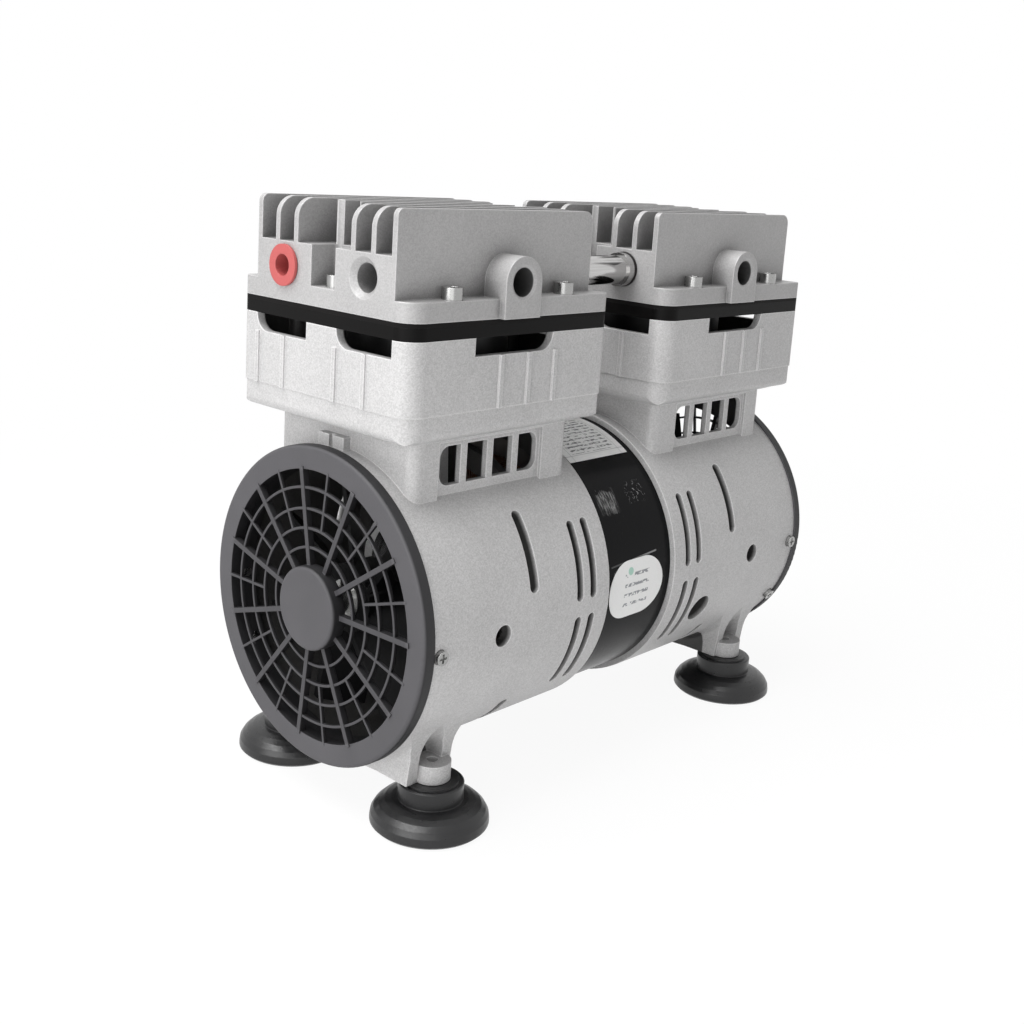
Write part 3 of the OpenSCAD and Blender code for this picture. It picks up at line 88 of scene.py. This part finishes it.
class Nodes:
    """The nodes of one surface, or of what surrounds the pump."""

    def __init__(self, tree):
        self.tree = tree

    def node(self, kind, settings, sockets):
        made = self.tree.nodes.new(kind)
        for name, value in settings.items():
            setattr(made, name, value)
        for key, value in sockets.items():
            self.join(made.inputs[key], value)
        return made

    def join(self, socket, value):
        if isinstance(value, Varying):
            value = value.socket
        if isinstance(value, bpy.types.NodeSocket):
            self.tree.links.new(value, socket)
        else:
            socket.default_value = value

    def math(self, operation, *values, clamp=False):
        settings = {"operation": operation, "use_clamp": clamp}
        node = self.node("ShaderNodeMath", settings, dict(enumerate(values)))
        return Varying(self, node.outputs[0])

    def seen(self):
        """1 for the camera, and for what a mirror or glass shows it, 0 for light on other things."""
        rays = self.node("ShaderNodeLightPath", {}, {}).outputs
        direct = Varying(self, rays["Is Camera Ray"]) + Varying(self, rays["Is Glossy Ray"])
        return (direct + Varying(self, rays["Is Transmission Ray"])).clamped()


class Finish(Nodes):
    """One procedural surface, built on a Principled shader."""

    def __init__(self, name, **constants):
        self.material = bpy.data.materials.new(name)
        self.material.use_nodes = True
        super().__init__(self.material.node_tree)
        self.skin = self.tree.nodes["Principled BSDF"]
        self.coordinates = self.node("ShaderNodeTexCoord", {}, {}).outputs["Object"]
        self.feed(**constants)

    def feed(self, **values):
        for name, value in values.items():
            self.join(self.skin.inputs[name.replace("_", " ")], value)

    def axes(self, vector=None):
        """The three parts of a vector, or of the place on the surface."""
        sockets = {0: self.coordinates if vector is None else vector}
        return [Varying(self, part) for part in self.node("ShaderNodeSeparateXYZ", {}, sockets).outputs]

    def stretched(self, factors):
        sockets = {0: self.coordinates, 1: factors}
        return self.node("ShaderNodeVectorMath", {"operation": "MULTIPLY"}, sockets).outputs[0]

    def noise(self, size, detail=2.0, roughness=0.5, stretch=(1, 1, 1)):
        """Soft random cloud between about 0.3 and 0.7, with features about size metres across."""
        place = self.stretched([1.0 / (size * along) for along in stretch])
        sockets = {"Vector": place, "Scale": 1.0, "Detail": detail, "Roughness": roughness}
        return Varying(self, self.node("ShaderNodeTexNoise", {}, sockets).outputs["Fac"])

    def grains(self, size):
        """A different number between 0 and 1 in each grain of about size metres."""
        place = self.stretched([1.0 / size] * 3)
        node = self.node("ShaderNodeTexVoronoi", {"feature": "F1"}, {"Vector": place, "Scale": 1.0})
        return self.axes(node.outputs["Color"])[0]

    def mixed(self, amount, first, second):
        """The first colour where amount is 0, the second where it is 1."""
        factor_in, first_in, second_in, colour_out = 0, 6, 7, 2
        sockets = {factor_in: amount}
        for socket, colour in ((first_in, first), (second_in, second)):
            sockets[socket] = (*colour, 1) if isinstance(colour, tuple) else colour
        settings = {"data_type": "RGBA", "blend_type": "MIX"}
        return self.node("ShaderNodeMix", settings, sockets).outputs[colour_out]

    def facing(self):
        """The direction in which the surface faces, without its bumps."""
        return self.node("ShaderNodeNewGeometry", {}, {}).outputs["Normal"]

    def eased_edges(self, radius):
        """The shading direction with sharp edges rounded by radius metres."""
        return self.node("ShaderNodeBevel", {"samples": 6}, {"Radius": radius}).outputs["Normal"]

    def on_edges(self, radius):
        """1 along sharp outer and inner edges, 0 on open faces."""
        sockets = {0: self.eased_edges(radius), 1: self.facing()}
        turn = self.node("ShaderNodeVectorMath", {"operation": "DOT_PRODUCT"}, sockets)
        return Varying(self, turn.outputs["Value"]).over(0.99, 0.8)

    def openness(self, reach):
        """1 on open faces, falling to 0 deep in gaps and holes narrower than reach metres."""
        settings = {"samples": 6, "only_local": True}
        node = self.node("ShaderNodeAmbientOcclusion", settings, {"Distance": reach})
        return Varying(self, node.outputs["AO"])

    def relief(self, height, depth, base=None):
        """Bumps of depth metres where height goes from 0 to 1."""
        sockets = {"Height": height, "Distance": depth, "Strength": 1.0}
        if base is not None:
            sockets["Normal"] = base
        return self.node("ShaderNodeBump", {}, sockets).outputs["Normal"]

    def on(self, *nodes):
        for name in nodes:
            piece = frame["nodes"][name]
            if not piece.material_slots:
                piece.data.materials.append(self.material)
            for slot in piece.material_slots:
                slot.material = self.material


table = Finish("studio_table", Roughness=0.9, Base_Color=(0.92, 0.92, 0.92, 1))
x, y = table.axes()[:2]
shadow_ends = 0.3, 0.75
far_out = ((x * x + y * y) ** 0.5).over(*shadow_ends)
glow = table.node("ShaderNodeEmission", {}, {"Color": (1, 1, 1, 1), "Strength": 1.0})
least_white = 0.93
whiteness = table.seen() * (least_white + (1 - least_white) * far_out)
whitened = {0: whiteness, 1: table.skin.outputs[0], 2: glow.outputs[0]}
lit = table.node("ShaderNodeMixShader", {}, whitened)
table.join(table.tree.nodes["Material Output"].inputs["Surface"], lit.outputs[0])

half_side = 2.5
under_feet = -0.0002
corners = [(-half_side, -half_side, 0), (half_side, -half_side, 0), (half_side, half_side, 0),
           (-half_side, half_side, 0)]
floor_mesh = bpy.data.meshes.new("studio_table")
floor_mesh.from_pydata(corners, [], [(0, 1, 2, 3)])
floor_mesh.materials.append(table.material)
floor = bpy.data.objects.new("studio_table", floor_mesh)
floor.location.z = under_feet
scene.collection.objects.link(floor)

world = bpy.data.worlds.new("studio_surround")
world.use_nodes = True
scene.world = world
surround = Nodes(world.node_tree)
background = surround.tree.nodes["Background"].inputs
fill_light = 0.28
surround.join(background["Color"], (1, 1, 1, 1))
surround.join(background["Strength"], fill_light + (1 - fill_light) * surround.seen())

pump_middle = Vector((0, 0, 0.12))


def soft_light(name, direction, distance, width, watts):
    """A round lamp that shines on the middle of the pump from a direction."""
    lamp = bpy.data.lights.new(name, "AREA")
    lamp.shape = "DISK"
    lamp.size = width
    lamp.energy = watts
    holder = bpy.data.objects.new(name, lamp)
    aim = Vector(direction).normalized()
    holder.location = pump_middle + aim * distance
    holder.rotation_euler = aim.to_track_quat("Z", "Y").to_euler()
    scene.collection.objects.link(holder)


soft_light("light_plug_end", direction=(-1, -0.1, 0.3), distance=1.1, width=0.8, watts=4.8)
soft_light("light_tube_side", direction=(-1, -0.8, 0.2), distance=0.7, width=0.4, watts=0.45)
soft_light("light_above", direction=(-0.4, 0.15, 1), distance=1.5, width=1.3, watts=30)

camera_data = bpy.data.cameras.new("camera")
camera_data.sensor_width = 36
camera_data.lens = 44.75
camera_data.shift_y = -0.0898
camera_data.clip_start = 0.01
camera_place = Matrix.Translation((-0.460112, -0.397975, 0.278056))
right, up = Vector((0.68125, -0.72936, 0.06276)), Vector((0.10672, 0.18376, 0.97716))
turn = Matrix((right, up, right.cross(up))).transposed()
camera = bpy.data.objects.new("camera", camera_data)
camera.matrix_world = camera_place @ turn.to_4x4()
scene.collection.objects.link(camera)
scene.camera = camera

# Crankcases
# Each end is one aluminium die casting: drum, neck, air box and two legs. It is blasted after
# casting, so it is pale satin metal with a fine sparkle. Its edges are paler, for rubbing and as
# painted highlights, and it is painted dark inside and in its corners as shade.


def shade(colour, factor):
    return tuple(min(1.0, part * factor) for part in colour)


def cast_metal(name, colour, sparkle, grain, roughness, corner_shade):
    """A casting with grains of depth grain, edges paler for rubbing and as painted highlights, and painted
    shade in corners and gaps.
    """
    finish = Finish(name, Metallic=0.15, IOR=1.5, Specular_IOR_Level=0.35)
    speck = finish.grains(size=0.0005)
    cloud = finish.noise(size=0.03, detail=3)
    rough = finish.noise(size=0.0009, detail=3, roughness=0.6)
    edges = finish.on_edges(radius=0.001)
    tone = (0.5 + (cloud - 0.5) * 0.35 + (speck - 0.5) * sparkle + (rough - 0.5) * sparkle).clamped()
    bare = finish.mixed(tone, shade(colour, 0.72), shade(colour, 1.28))
    # Paler edges: rubbed wear and painted highlights.
    rubbed_and_highlit = finish.mixed(edges * 0.9, bare, shade(colour, 1.6))
    # Painted shade: darker in corners, gaps and holes, the more closed in the part is there.
    painted_corner_shade = finish.openness(reach=0.012).over(0.85, 0.25) * corner_shade
    finish.colour = finish.mixed(painted_corner_shade, rubbed_and_highlit, shade(colour, 0.12))
    finish.feed(Base_Color=finish.colour,
                Roughness=roughness + (rough - 0.5) * 0.2 - edges * 0.1,
                Normal=finish.relief(rough, depth=grain, base=finish.eased_edges(radius=0.0006)))
    return finish


SHAFT_Z = sum(corner.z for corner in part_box("motor_shaft")) / 2


def distance_from_shaft(finish):
    """Metres from the line through the middle of the shaft."""
    y, z = finish.axes()[1:]
    return (y * y + (z - SHAFT_Z) * (z - SHAFT_Z)) ** 0.5


casting = cast_metal("blasted_casting", (0.49, 0.485, 0.485), sparkle=0.45, grain=0.0001, roughness=0.48,
                     corner_shade=0.12)
x, y, z = casting.axes()

# The hollows inside each casting, which are painted near-black as shade
drum_bore_r, drum_skin_r = 0.0649, 0.0672
motor_side_x = 0.0253
neck_x, neck_half_l, neck_half_w, neck_deck_z = 0.079, 0.0427, 0.0386, 0.1625
box_x, box_half_l, box_half_w = 0.08075, 0.0549, 0.0481
box_floor_z, box_rim_z = 0.1715, 0.2066
fade = 0.0006
in_drum = (distance_from_shaft(casting).over(drum_skin_r, drum_bore_r)
           * abs(x).over(motor_side_x, motor_side_x + 0.0005))
in_neck = (abs(x).within(neck_x, neck_half_l, soft=fade) * abs(y).over(neck_half_w + fade, neck_half_w)
           * z.over(neck_deck_z + 0.002, neck_deck_z))
in_box = (abs(x).within(box_x, box_half_l, soft=fade) * abs(y).over(box_half_w + fade, box_half_w)
          * z.over(box_floor_z - 0.001, box_floor_z) * z.over(box_rim_z + 0.0003, box_rim_z))
# Painted shade: the inner faces of drum, neck and air box take a near-black colour.
painted_inner_shade = (in_drum + in_neck + in_box).clamped()
casting.feed(Base_Color=casting.mixed(painted_inner_shade * 0.92, casting.colour, (0.02, 0.019, 0.018)))
casting.on("front_crankcase", "rear_crankcase")

# Motor stator
# A stack of thin steel laminations with varnished copper windings, wrapped in glossy black film
# and clamped between the crankcases by four long bolts. A ruled metal plate is stuck on top of the
# film, and a white sticker with round ends below it on the tube side.

stack = Finish("lamination_edges", Metallic=0.8)
sheet_pitch = 0.0005
sheets = stack.math("SINE", stack.axes()[0] * (2 * math.pi / sheet_pitch))
blued = stack.noise(size=0.012)
stack.feed(Base_Color=stack.mixed(blued, (0.12, 0.12, 0.13), (0.24, 0.22, 0.2)),
           Roughness=0.35 + blued * 0.3,
           Normal=stack.relief(sheets, depth=0.00004))
stack.on("stator_core", "rotor_core")


def angle_round_shaft(finish):
    """Degrees above the horizontal on the tube side, seen along the shaft."""
    y, z = finish.axes()[1:]
    return finish.math("ARCTAN2", z - SHAFT_Z, 0 - y) * (180 / math.pi)


film = Finish("black_film", IOR=1.4, Specular_IOR_Level=0.1)
x = film.axes()[0]
turned = angle_round_shaft(film)
crinkle = film.noise(size=0.004, detail=4, roughness=0.65, stretch=(0.6, 1, 1))
fibres = film.noise(size=0.0008, detail=4, roughness=0.7, stretch=(1, 6, 6)).over(0.46, 0.62)
ragged = film.noise(size=0.003, detail=3, roughness=0.6) * 8 - 4
# The whitish patches on the upper front of the film are scuffs and scratches, and also painted highlights
# where its creases catch the light.
rub_glint_angle, rub_glint_half_angle = 35.8, 2.4
rub_glint_x, rub_glint_half_l = -0.0122, 0.0042
rubbed_glints = ((turned + ragged).within(rub_glint_angle, rub_glint_half_angle, soft=3)
          * (x + ragged * 0.0004).within(rub_glint_x, rub_glint_half_l, soft=0.003)
          * (0.12 + fibres * 0.75))
strokes = abs(film.noise(size=0.0035, detail=3, roughness=0.6) - 0.5).over(0.022, 0.004)
scratch_glint_angle, scratch_glint_half_angle = 37.8, 3.2
scratch_glint_x, scratch_glint_half_l = 0.0093, 0.005
scratch_glints = ((turned + ragged).within(scratch_glint_angle, scratch_glint_half_angle, soft=2)
             * (x + ragged * 0.0005).within(scratch_glint_x, scratch_glint_half_l, soft=0.002)
             * strokes * fibres.over(0.1, 0.5))
seam_angle, seam_slope, seam_half_angle = 10.6, 60, 0.22
seam_x, seam_half_l = -0.003, 0.0165
seam = ((turned - x * seam_slope).within(seam_angle, seam_half_angle, soft=0.25)
        * x.within(seam_x, seam_half_l, soft=0.0008) * (0.25 + 0.75 * x.over(-0.004, 0.012)))
marks_and_glints = (rubbed_glints * 0.8 + scratch_glints + seam * 0.7).clamped()
film.feed(Base_Color=film.mixed(marks_and_glints, (0.004, 0.004, 0.0045), (0.42, 0.42, 0.42)),
          Roughness=0.2 + marks_and_glints * 0.35 + crinkle * 0.08,
          Normal=film.relief(crinkle * (0.12 + marks_and_glints * 0.6) + seam * 0.6, depth=0.0003))
film.on("stator_film")

plate = Finish("rating_plate_metal", Metallic=0.5)
x = plate.axes()[0]
turned = angle_round_shaft(plate)
brushed = plate.noise(size=0.0006, detail=2, stretch=(12, 1, 1))
broken = plate.noise(size=0.0011, detail=2, stretch=(2.2, 1, 1)).over(0.44, 0.54)
plate_angle, frame_half_angle, frame_half_l = 72, 12.9, 0.0171
frame_line_angle, frame_line_l = 0.3, 0.0003
ruled_half_angle, ruled_half_l = 12, 0.0165
rule_half_pitch, first_rule, rule_half_l = 1.1, 57.5, 0.0155
left_column_x, right_column_x, column_half_w = -0.006, 0.0055, 0.00012
rules = (plate.math("PINGPONG", turned - first_rule, rule_half_pitch).over(0.62, 0.4)
         * x.within(0, rule_half_l, soft=0.0002) * broken)
columns = (x.within(left_column_x, column_half_w, soft=0.00005)
           + x.within(right_column_x, column_half_w, soft=0.00005))
border = (x.within(0, frame_half_l, soft=0.0002) - x.within(0, frame_half_l - frame_line_l, soft=0.0002)
          + turned.within(plate_angle, frame_half_angle, soft=0.1)
          - turned.within(plate_angle, frame_half_angle - frame_line_angle, soft=0.1)).clamped()
ruled = turned.within(plate_angle, ruled_half_angle, soft=0.1) * x.within(0, ruled_half_l, soft=0.0002)
printed = ((rules + columns * 0.6) * ruled + border * 0.5).clamped()
blank = plate.mixed(brushed, (0.66, 0.66, 0.66), (0.9, 0.9, 0.89))
plate.feed(Base_Color=plate.mixed(printed * 0.85, blank, (0.07, 0.07, 0.075)),
           Roughness=0.36 + brushed * 0.2,
           Normal=plate.relief(brushed - printed * 0.4, depth=0.00003))
plate.on("name_plate")

sticker = Finish("white_sticker", IOR=1.45)
x = sticker.axes()[0]
turned = angle_round_shaft(sticker)
paper = sticker.noise(size=0.0008, detail=3)
dashes = sticker.noise(size=0.0013, detail=1, stretch=(1.3, 1, 1)).over(0.44, 0.5)
line_half_pitch, first_line = 2.1, -12.6
lines_x, lines_half_l = -0.0008, 0.0088
lines_angle, lines_half_angle = -2.5, 8.4
dot_x, dot_angle, dot_r, dot_clear_r = -0.0058, 5.8, 0.00173, 0.00316
metres_per_degree = math.radians(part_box("stator_film")[1].y)
across = x - dot_x
along = (turned - dot_angle) * metres_per_degree
from_dot = (across * across + along * along) ** 0.5
dot = from_dot.over(dot_r + 0.0003, dot_r)
lined_part = (x.within(lines_x, lines_half_l, soft=0.0003)
              * turned.within(lines_angle, lines_half_angle, soft=0.2)
              * from_dot.over(dot_clear_r, dot_clear_r + 0.0003))
lines = (sticker.math("PINGPONG", turned - first_line, line_half_pitch).over(0.85, 0.6)
         * dashes * lined_part)
blank = sticker.mixed(paper, (0.78, 0.78, 0.775), (0.86, 0.86, 0.855))
lined = sticker.mixed(lines * 0.8, blank, (0.12, 0.13, 0.15))
sticker.feed(Base_Color=sticker.mixed(dot * 0.7, lined, (0.2, 0.5, 0.38)),
             Roughness=0.4 + paper * 0.1,
             Normal=sticker.relief(paper, depth=0.00002))
sticker.on("round_label")

wire = Finish("varnished_windings", Metallic=0.4)
strands_round = 220
strands = wire.math("SINE", angle_round_shaft(wire) * math.radians(strands_round))
crossing = wire.noise(size=0.004, detail=2)
# The dark brown is the varnish's colour, darkened further as painted shade for windings deep inside the
# casings.
wire.feed(Base_Color=wire.mixed(crossing, (0.09, 0.03, 0.014), (0.2, 0.085, 0.035)),
          Roughness=0.3 + crossing * 0.2,
          Normal=wire.relief(strands + crossing * 2, depth=0.0003))
wire.on("stator_windings")


def bright_steel(name, colour, size, depth, roughness, stretch=(1, 1, 1), wear=0.0):
    """Turned, ground or plated steel: lines of the given size along the way it was cut."""
    finish = Finish(name, Metallic=1.0)
    lines = finish.noise(size=size, detail=3, stretch=stretch)
    cloud = finish.noise(size=0.01, detail=2)
    edges = finish.on_edges(radius=0.0003)
    tone = (0.3 + lines * 0.5 + (cloud - 0.5) * 0.5).clamped()
    bare = finish.mixed(tone, shade(colour, 0.8), shade(colour, 1.2))
    finish.feed(Base_Color=finish.mixed(edges * wear, bare, shade(colour, 1.4)),
                Roughness=roughness + lines * 0.15,
                Normal=finish.relief(lines, depth=depth, base=finish.eased_edges(radius=0.0003)))
    return finish


zinc = bright_steel("zinc_plating", (0.36, 0.36, 0.355), size=0.004, depth=0.00001, roughness=0.2, wear=0.4)
zinc.on("stator_bolts", "guard_screws", "head_bolts", "foot_studs")

# Shaft, bearings and cranks
# A ground steel shaft runs in two sealed ball bearings pressed into the webs of the crankcases.
# Each end carries a cast counterweight with its crank pin, held by a washer.

ground = bright_steel("ground_shaft", (0.6, 0.6, 0.59), size=0.0002, depth=0.00001, roughness=0.16,
                      stretch=(1, 30, 30))
ground.on("motor_shaft")
rings = bright_steel("bearing_rings", (0.55, 0.55, 0.56), size=0.0004, depth=0.00001, roughness=0.15)
rings.on("front_main_bearing", "rear_main_bearing", "front_rod_bearing", "rear_rod_bearing")
weight = bright_steel("cast_counterweight", (0.3, 0.29, 0.28), size=0.0012, depth=0.00012, roughness=0.45,
                      wear=0.4)
weight.on("front_eccentric", "rear_eccentric")
washer = bright_steel("crank_washer_steel", (0.55, 0.55, 0.54), size=0.0006, depth=0.00001, roughness=0.22)
washer.on("crank_washers", "fan_clips")

# Connecting rods and cup seals
# Die-cast rods whose flat piston disc rocks in the bore. A dark filled seal sits under a turned
# retainer that one screw holds.

rods = cast_metal("rod_casting", (0.6, 0.6, 0.6), sparkle=0.25, grain=0.00006, roughness=0.42, corner_shade=0.5)
rods.on("front_connecting_rod", "rear_connecting_rod")
retainer = bright_steel("turned_retainer", (0.66, 0.66, 0.66), size=0.0003, depth=0.00001, roughness=0.25,
                        stretch=(1, 1, 8))
retainer.on("front_seal_retainer", "rear_seal_retainer")
screw = bright_steel("retainer_screw_steel", (0.4, 0.4, 0.4), size=0.0008, depth=0.00002, roughness=0.25)
screw.on("front_retainer_screw", "rear_retainer_screw")

seal = Finish("filled_seal", IOR=1.4)
mottle = seal.noise(size=0.0008, detail=3)
seal.feed(Base_Color=seal.mixed(mottle, (0.03, 0.028, 0.026), (0.09, 0.08, 0.07)),
          Roughness=0.5 + mottle * 0.2,
          Normal=seal.relief(mottle, depth=0.00003))
seal.on("front_cup_seal", "rear_cup_seal")

# Cylinders, valve plates, reeds and gaskets
# A thin hard-anodised sleeve stands in each deck. The valve plate and its gasket are the black
# band that runs round under each head.

sleeve = Finish("anodised_sleeve", Metallic=0.5)
honing = sleeve.noise(size=0.0005, detail=2, stretch=(1, 1, 0.2))
sleeve.feed(Base_Color=sleeve.mixed(honing, (0.02, 0.02, 0.021), (0.045, 0.045, 0.046)),
            Roughness=0.35 + honing * 0.1,
            Normal=sleeve.relief(honing, depth=0.00001, base=sleeve.eased_edges(radius=0.0003)))
sleeve.on("front_cylinder", "rear_cylinder")


def black_sheet(name, dark, pale, size, depth, roughness):
    """Warm black plate, gasket or rubber between two greys, with pores of the given size."""
    finish = Finish(name, IOR=1.45, Specular_IOR_Level=0.12)
    pores = finish.noise(size=size, detail=3, roughness=0.6)
    cloud = finish.noise(size=0.02, detail=2)
    edges = finish.on_edges(radius=0.0005)
    tone = (0.5 * pores + 0.5 * cloud + edges * 0.3).clamped()
    finish.feed(Base_Color=finish.mixed(tone, (dark * 1.1, dark, dark), (pale * 1.1, pale, pale)),
                Roughness=roughness + (pores - 0.5) * 0.2,
                Normal=finish.relief(pores, depth=depth, base=finish.eased_edges(radius=0.0004)))
    return finish


black_plate = black_sheet("black_plate", dark=0.0015, pale=0.004, size=0.0015, depth=0.00003,
                          roughness=0.42)
black_plate.on("front_valve_plate", "rear_valve_plate")
gasket = black_sheet("gasket_sheet", dark=0.003, pale=0.008, size=0.0008, depth=0.00004, roughness=0.6)
gasket.on("front_head_gasket", "rear_head_gasket")
strip = bright_steel("reed_strip", (0.5, 0.51, 0.54), size=0.0003, depth=0.00001, roughness=0.18,
                     stretch=(1, 20, 1))
strip.on("front_intake_reed", "rear_intake_reed", "front_exhaust_reed", "rear_exhaust_reed",
         "reed_stops", "reed_clamps", "reed_screws")

# Heads, bolts and transfer tubes
# Two copies of one finned die casting, a little darker than the crankcases, each on six
# socket-head bolts. Two polished tubes slide into rings between them.

heads = cast_metal("head_casting", (0.385, 0.38, 0.38), sparkle=0.35, grain=0.00008, roughness=0.42,
                   corner_shade=0.8)
x, y, z = heads.axes()
side_port = next(mount for mount in frame["record"]["mounts"] if mount["name"] == "rear_side_port_left")
port_x, port_z, port_r = side_port["pos_m"][0], side_port["pos_m"][2], side_port["dims"]["r_mm"] / 1000
along, above = abs(x) - port_x, z - port_z
in_port = ((along * along + above * above) ** 0.5).over(port_r + 0.0002, port_r)
unlit = in_port * abs(y).over(0.02, 0.03)
heads.feed(Base_Color=heads.mixed(unlit * 0.8, heads.colour, (0.03, 0.03, 0.03)))
heads.on("front_head", "rear_head")

chrome = Finish("polished_tube", Metallic=1.0)
drawn = chrome.noise(size=0.0004, detail=3, stretch=(60, 1, 1))
chrome.feed(Base_Color=chrome.mixed(drawn, (0.38, 0.375, 0.37), (0.62, 0.615, 0.61)),
            Roughness=0.07 + drawn * 0.08,
            Normal=chrome.relief(drawn, depth=0.000012))
chrome.on("left_transfer_tube", "right_transfer_tube")

ring_rubber = black_sheet("ring_rubber", dark=0.01, pale=0.025, size=0.0008, depth=0.00002, roughness=0.45)
ring_rubber.on("tube_seals")

# Port plug
# A soft red moulded plug with a hollow middle, pushed by hand into the port at the plugged end
# to keep dirt out.

plug = Finish("red_plug", IOR=1.45)
skin = plug.noise(size=0.0006, detail=3)
plug.feed(Base_Color=plug.mixed(skin, (0.4, 0.07, 0.068), (0.48, 0.11, 0.107)),
          Roughness=0.42 + skin * 0.15,
          Normal=plug.relief(skin, depth=0.00003, base=plug.eased_edges(radius=0.0005)))
plug.on("port_plug")

# Fans and guards
# Moulded black fans are clipped to the shaft ends. The guards are dark grey moulded grilles
# with a grained face, each held by three small screws through the drum.


def moulded(name, dark, pale, grain, depth, roughness, gloss):
    """Moulded plastic or rubber with a leathery grain, paler along its edges."""
    finish = Finish(name, IOR=1.5, Specular_IOR_Level=gloss)
    leather = finish.noise(size=grain, detail=3, roughness=0.6)
    cloud = finish.noise(size=0.025, detail=2)
    edges = finish.on_edges(radius=0.0005)
    finish.tone = (0.4 * leather + 0.6 * cloud + edges * 0.5).clamped()
    finish.colour = finish.mixed(finish.tone, dark, pale)
    finish.feed(Base_Color=finish.colour,
                Roughness=roughness + (leather - 0.5) * 0.25,
                Normal=finish.relief(leather, depth=depth, base=finish.eased_edges(radius=0.0006)))
    return finish


guard = moulded("guard_plastic", (0.045, 0.044, 0.048), (0.088, 0.085, 0.092), grain=0.0008, depth=0.00006,
                roughness=0.55, gloss=0.4)
hub_r, rim_r = 0.0178, 0.0585
from_shaft = distance_from_shaft(guard)
grille = from_shaft.over(hub_r, hub_r + 0.001) * from_shaft.over(rim_r, rim_r - 0.001)
face = guard.mixed(grille * 0.5, guard.colour, (0.024, 0.023, 0.026))
# Painted shade: the walls, which face across the shaft, are coloured darker than the faces toward the shaft
# ends.
walls = guard.mixed(guard.tone, (0.009, 0.009, 0.01), (0.02, 0.019, 0.021))
facing_ends = abs(guard.axes(guard.facing())[0])
guard.feed(Base_Color=guard.mixed(facing_ends.over(0.3, 0.85), walls, face))
guard.on("front_fan_guard", "rear_fan_guard")

fan = moulded("fan_plastic", (0.003, 0.003, 0.0033), (0.008, 0.008, 0.0085), grain=0.0012, depth=0.00003,
              roughness=0.5, gloss=0.15)
fan.on("front_fan", "rear_fan")

# Feet
# Black rubber suction cups, moulded on the ends of four plated studs that screw into the legs, so
# that the pump stands fast on a smooth bench and shakes it less.

cup_rubber = moulded("foot_rubber", (0.006, 0.006, 0.0065), (0.017, 0.017, 0.018), grain=0.0015,
                     depth=0.00004, roughness=0.32, gloss=0.5)
cup_rubber.on("front_left_foot", "front_right_foot", "rear_left_foot", "rear_right_foot")
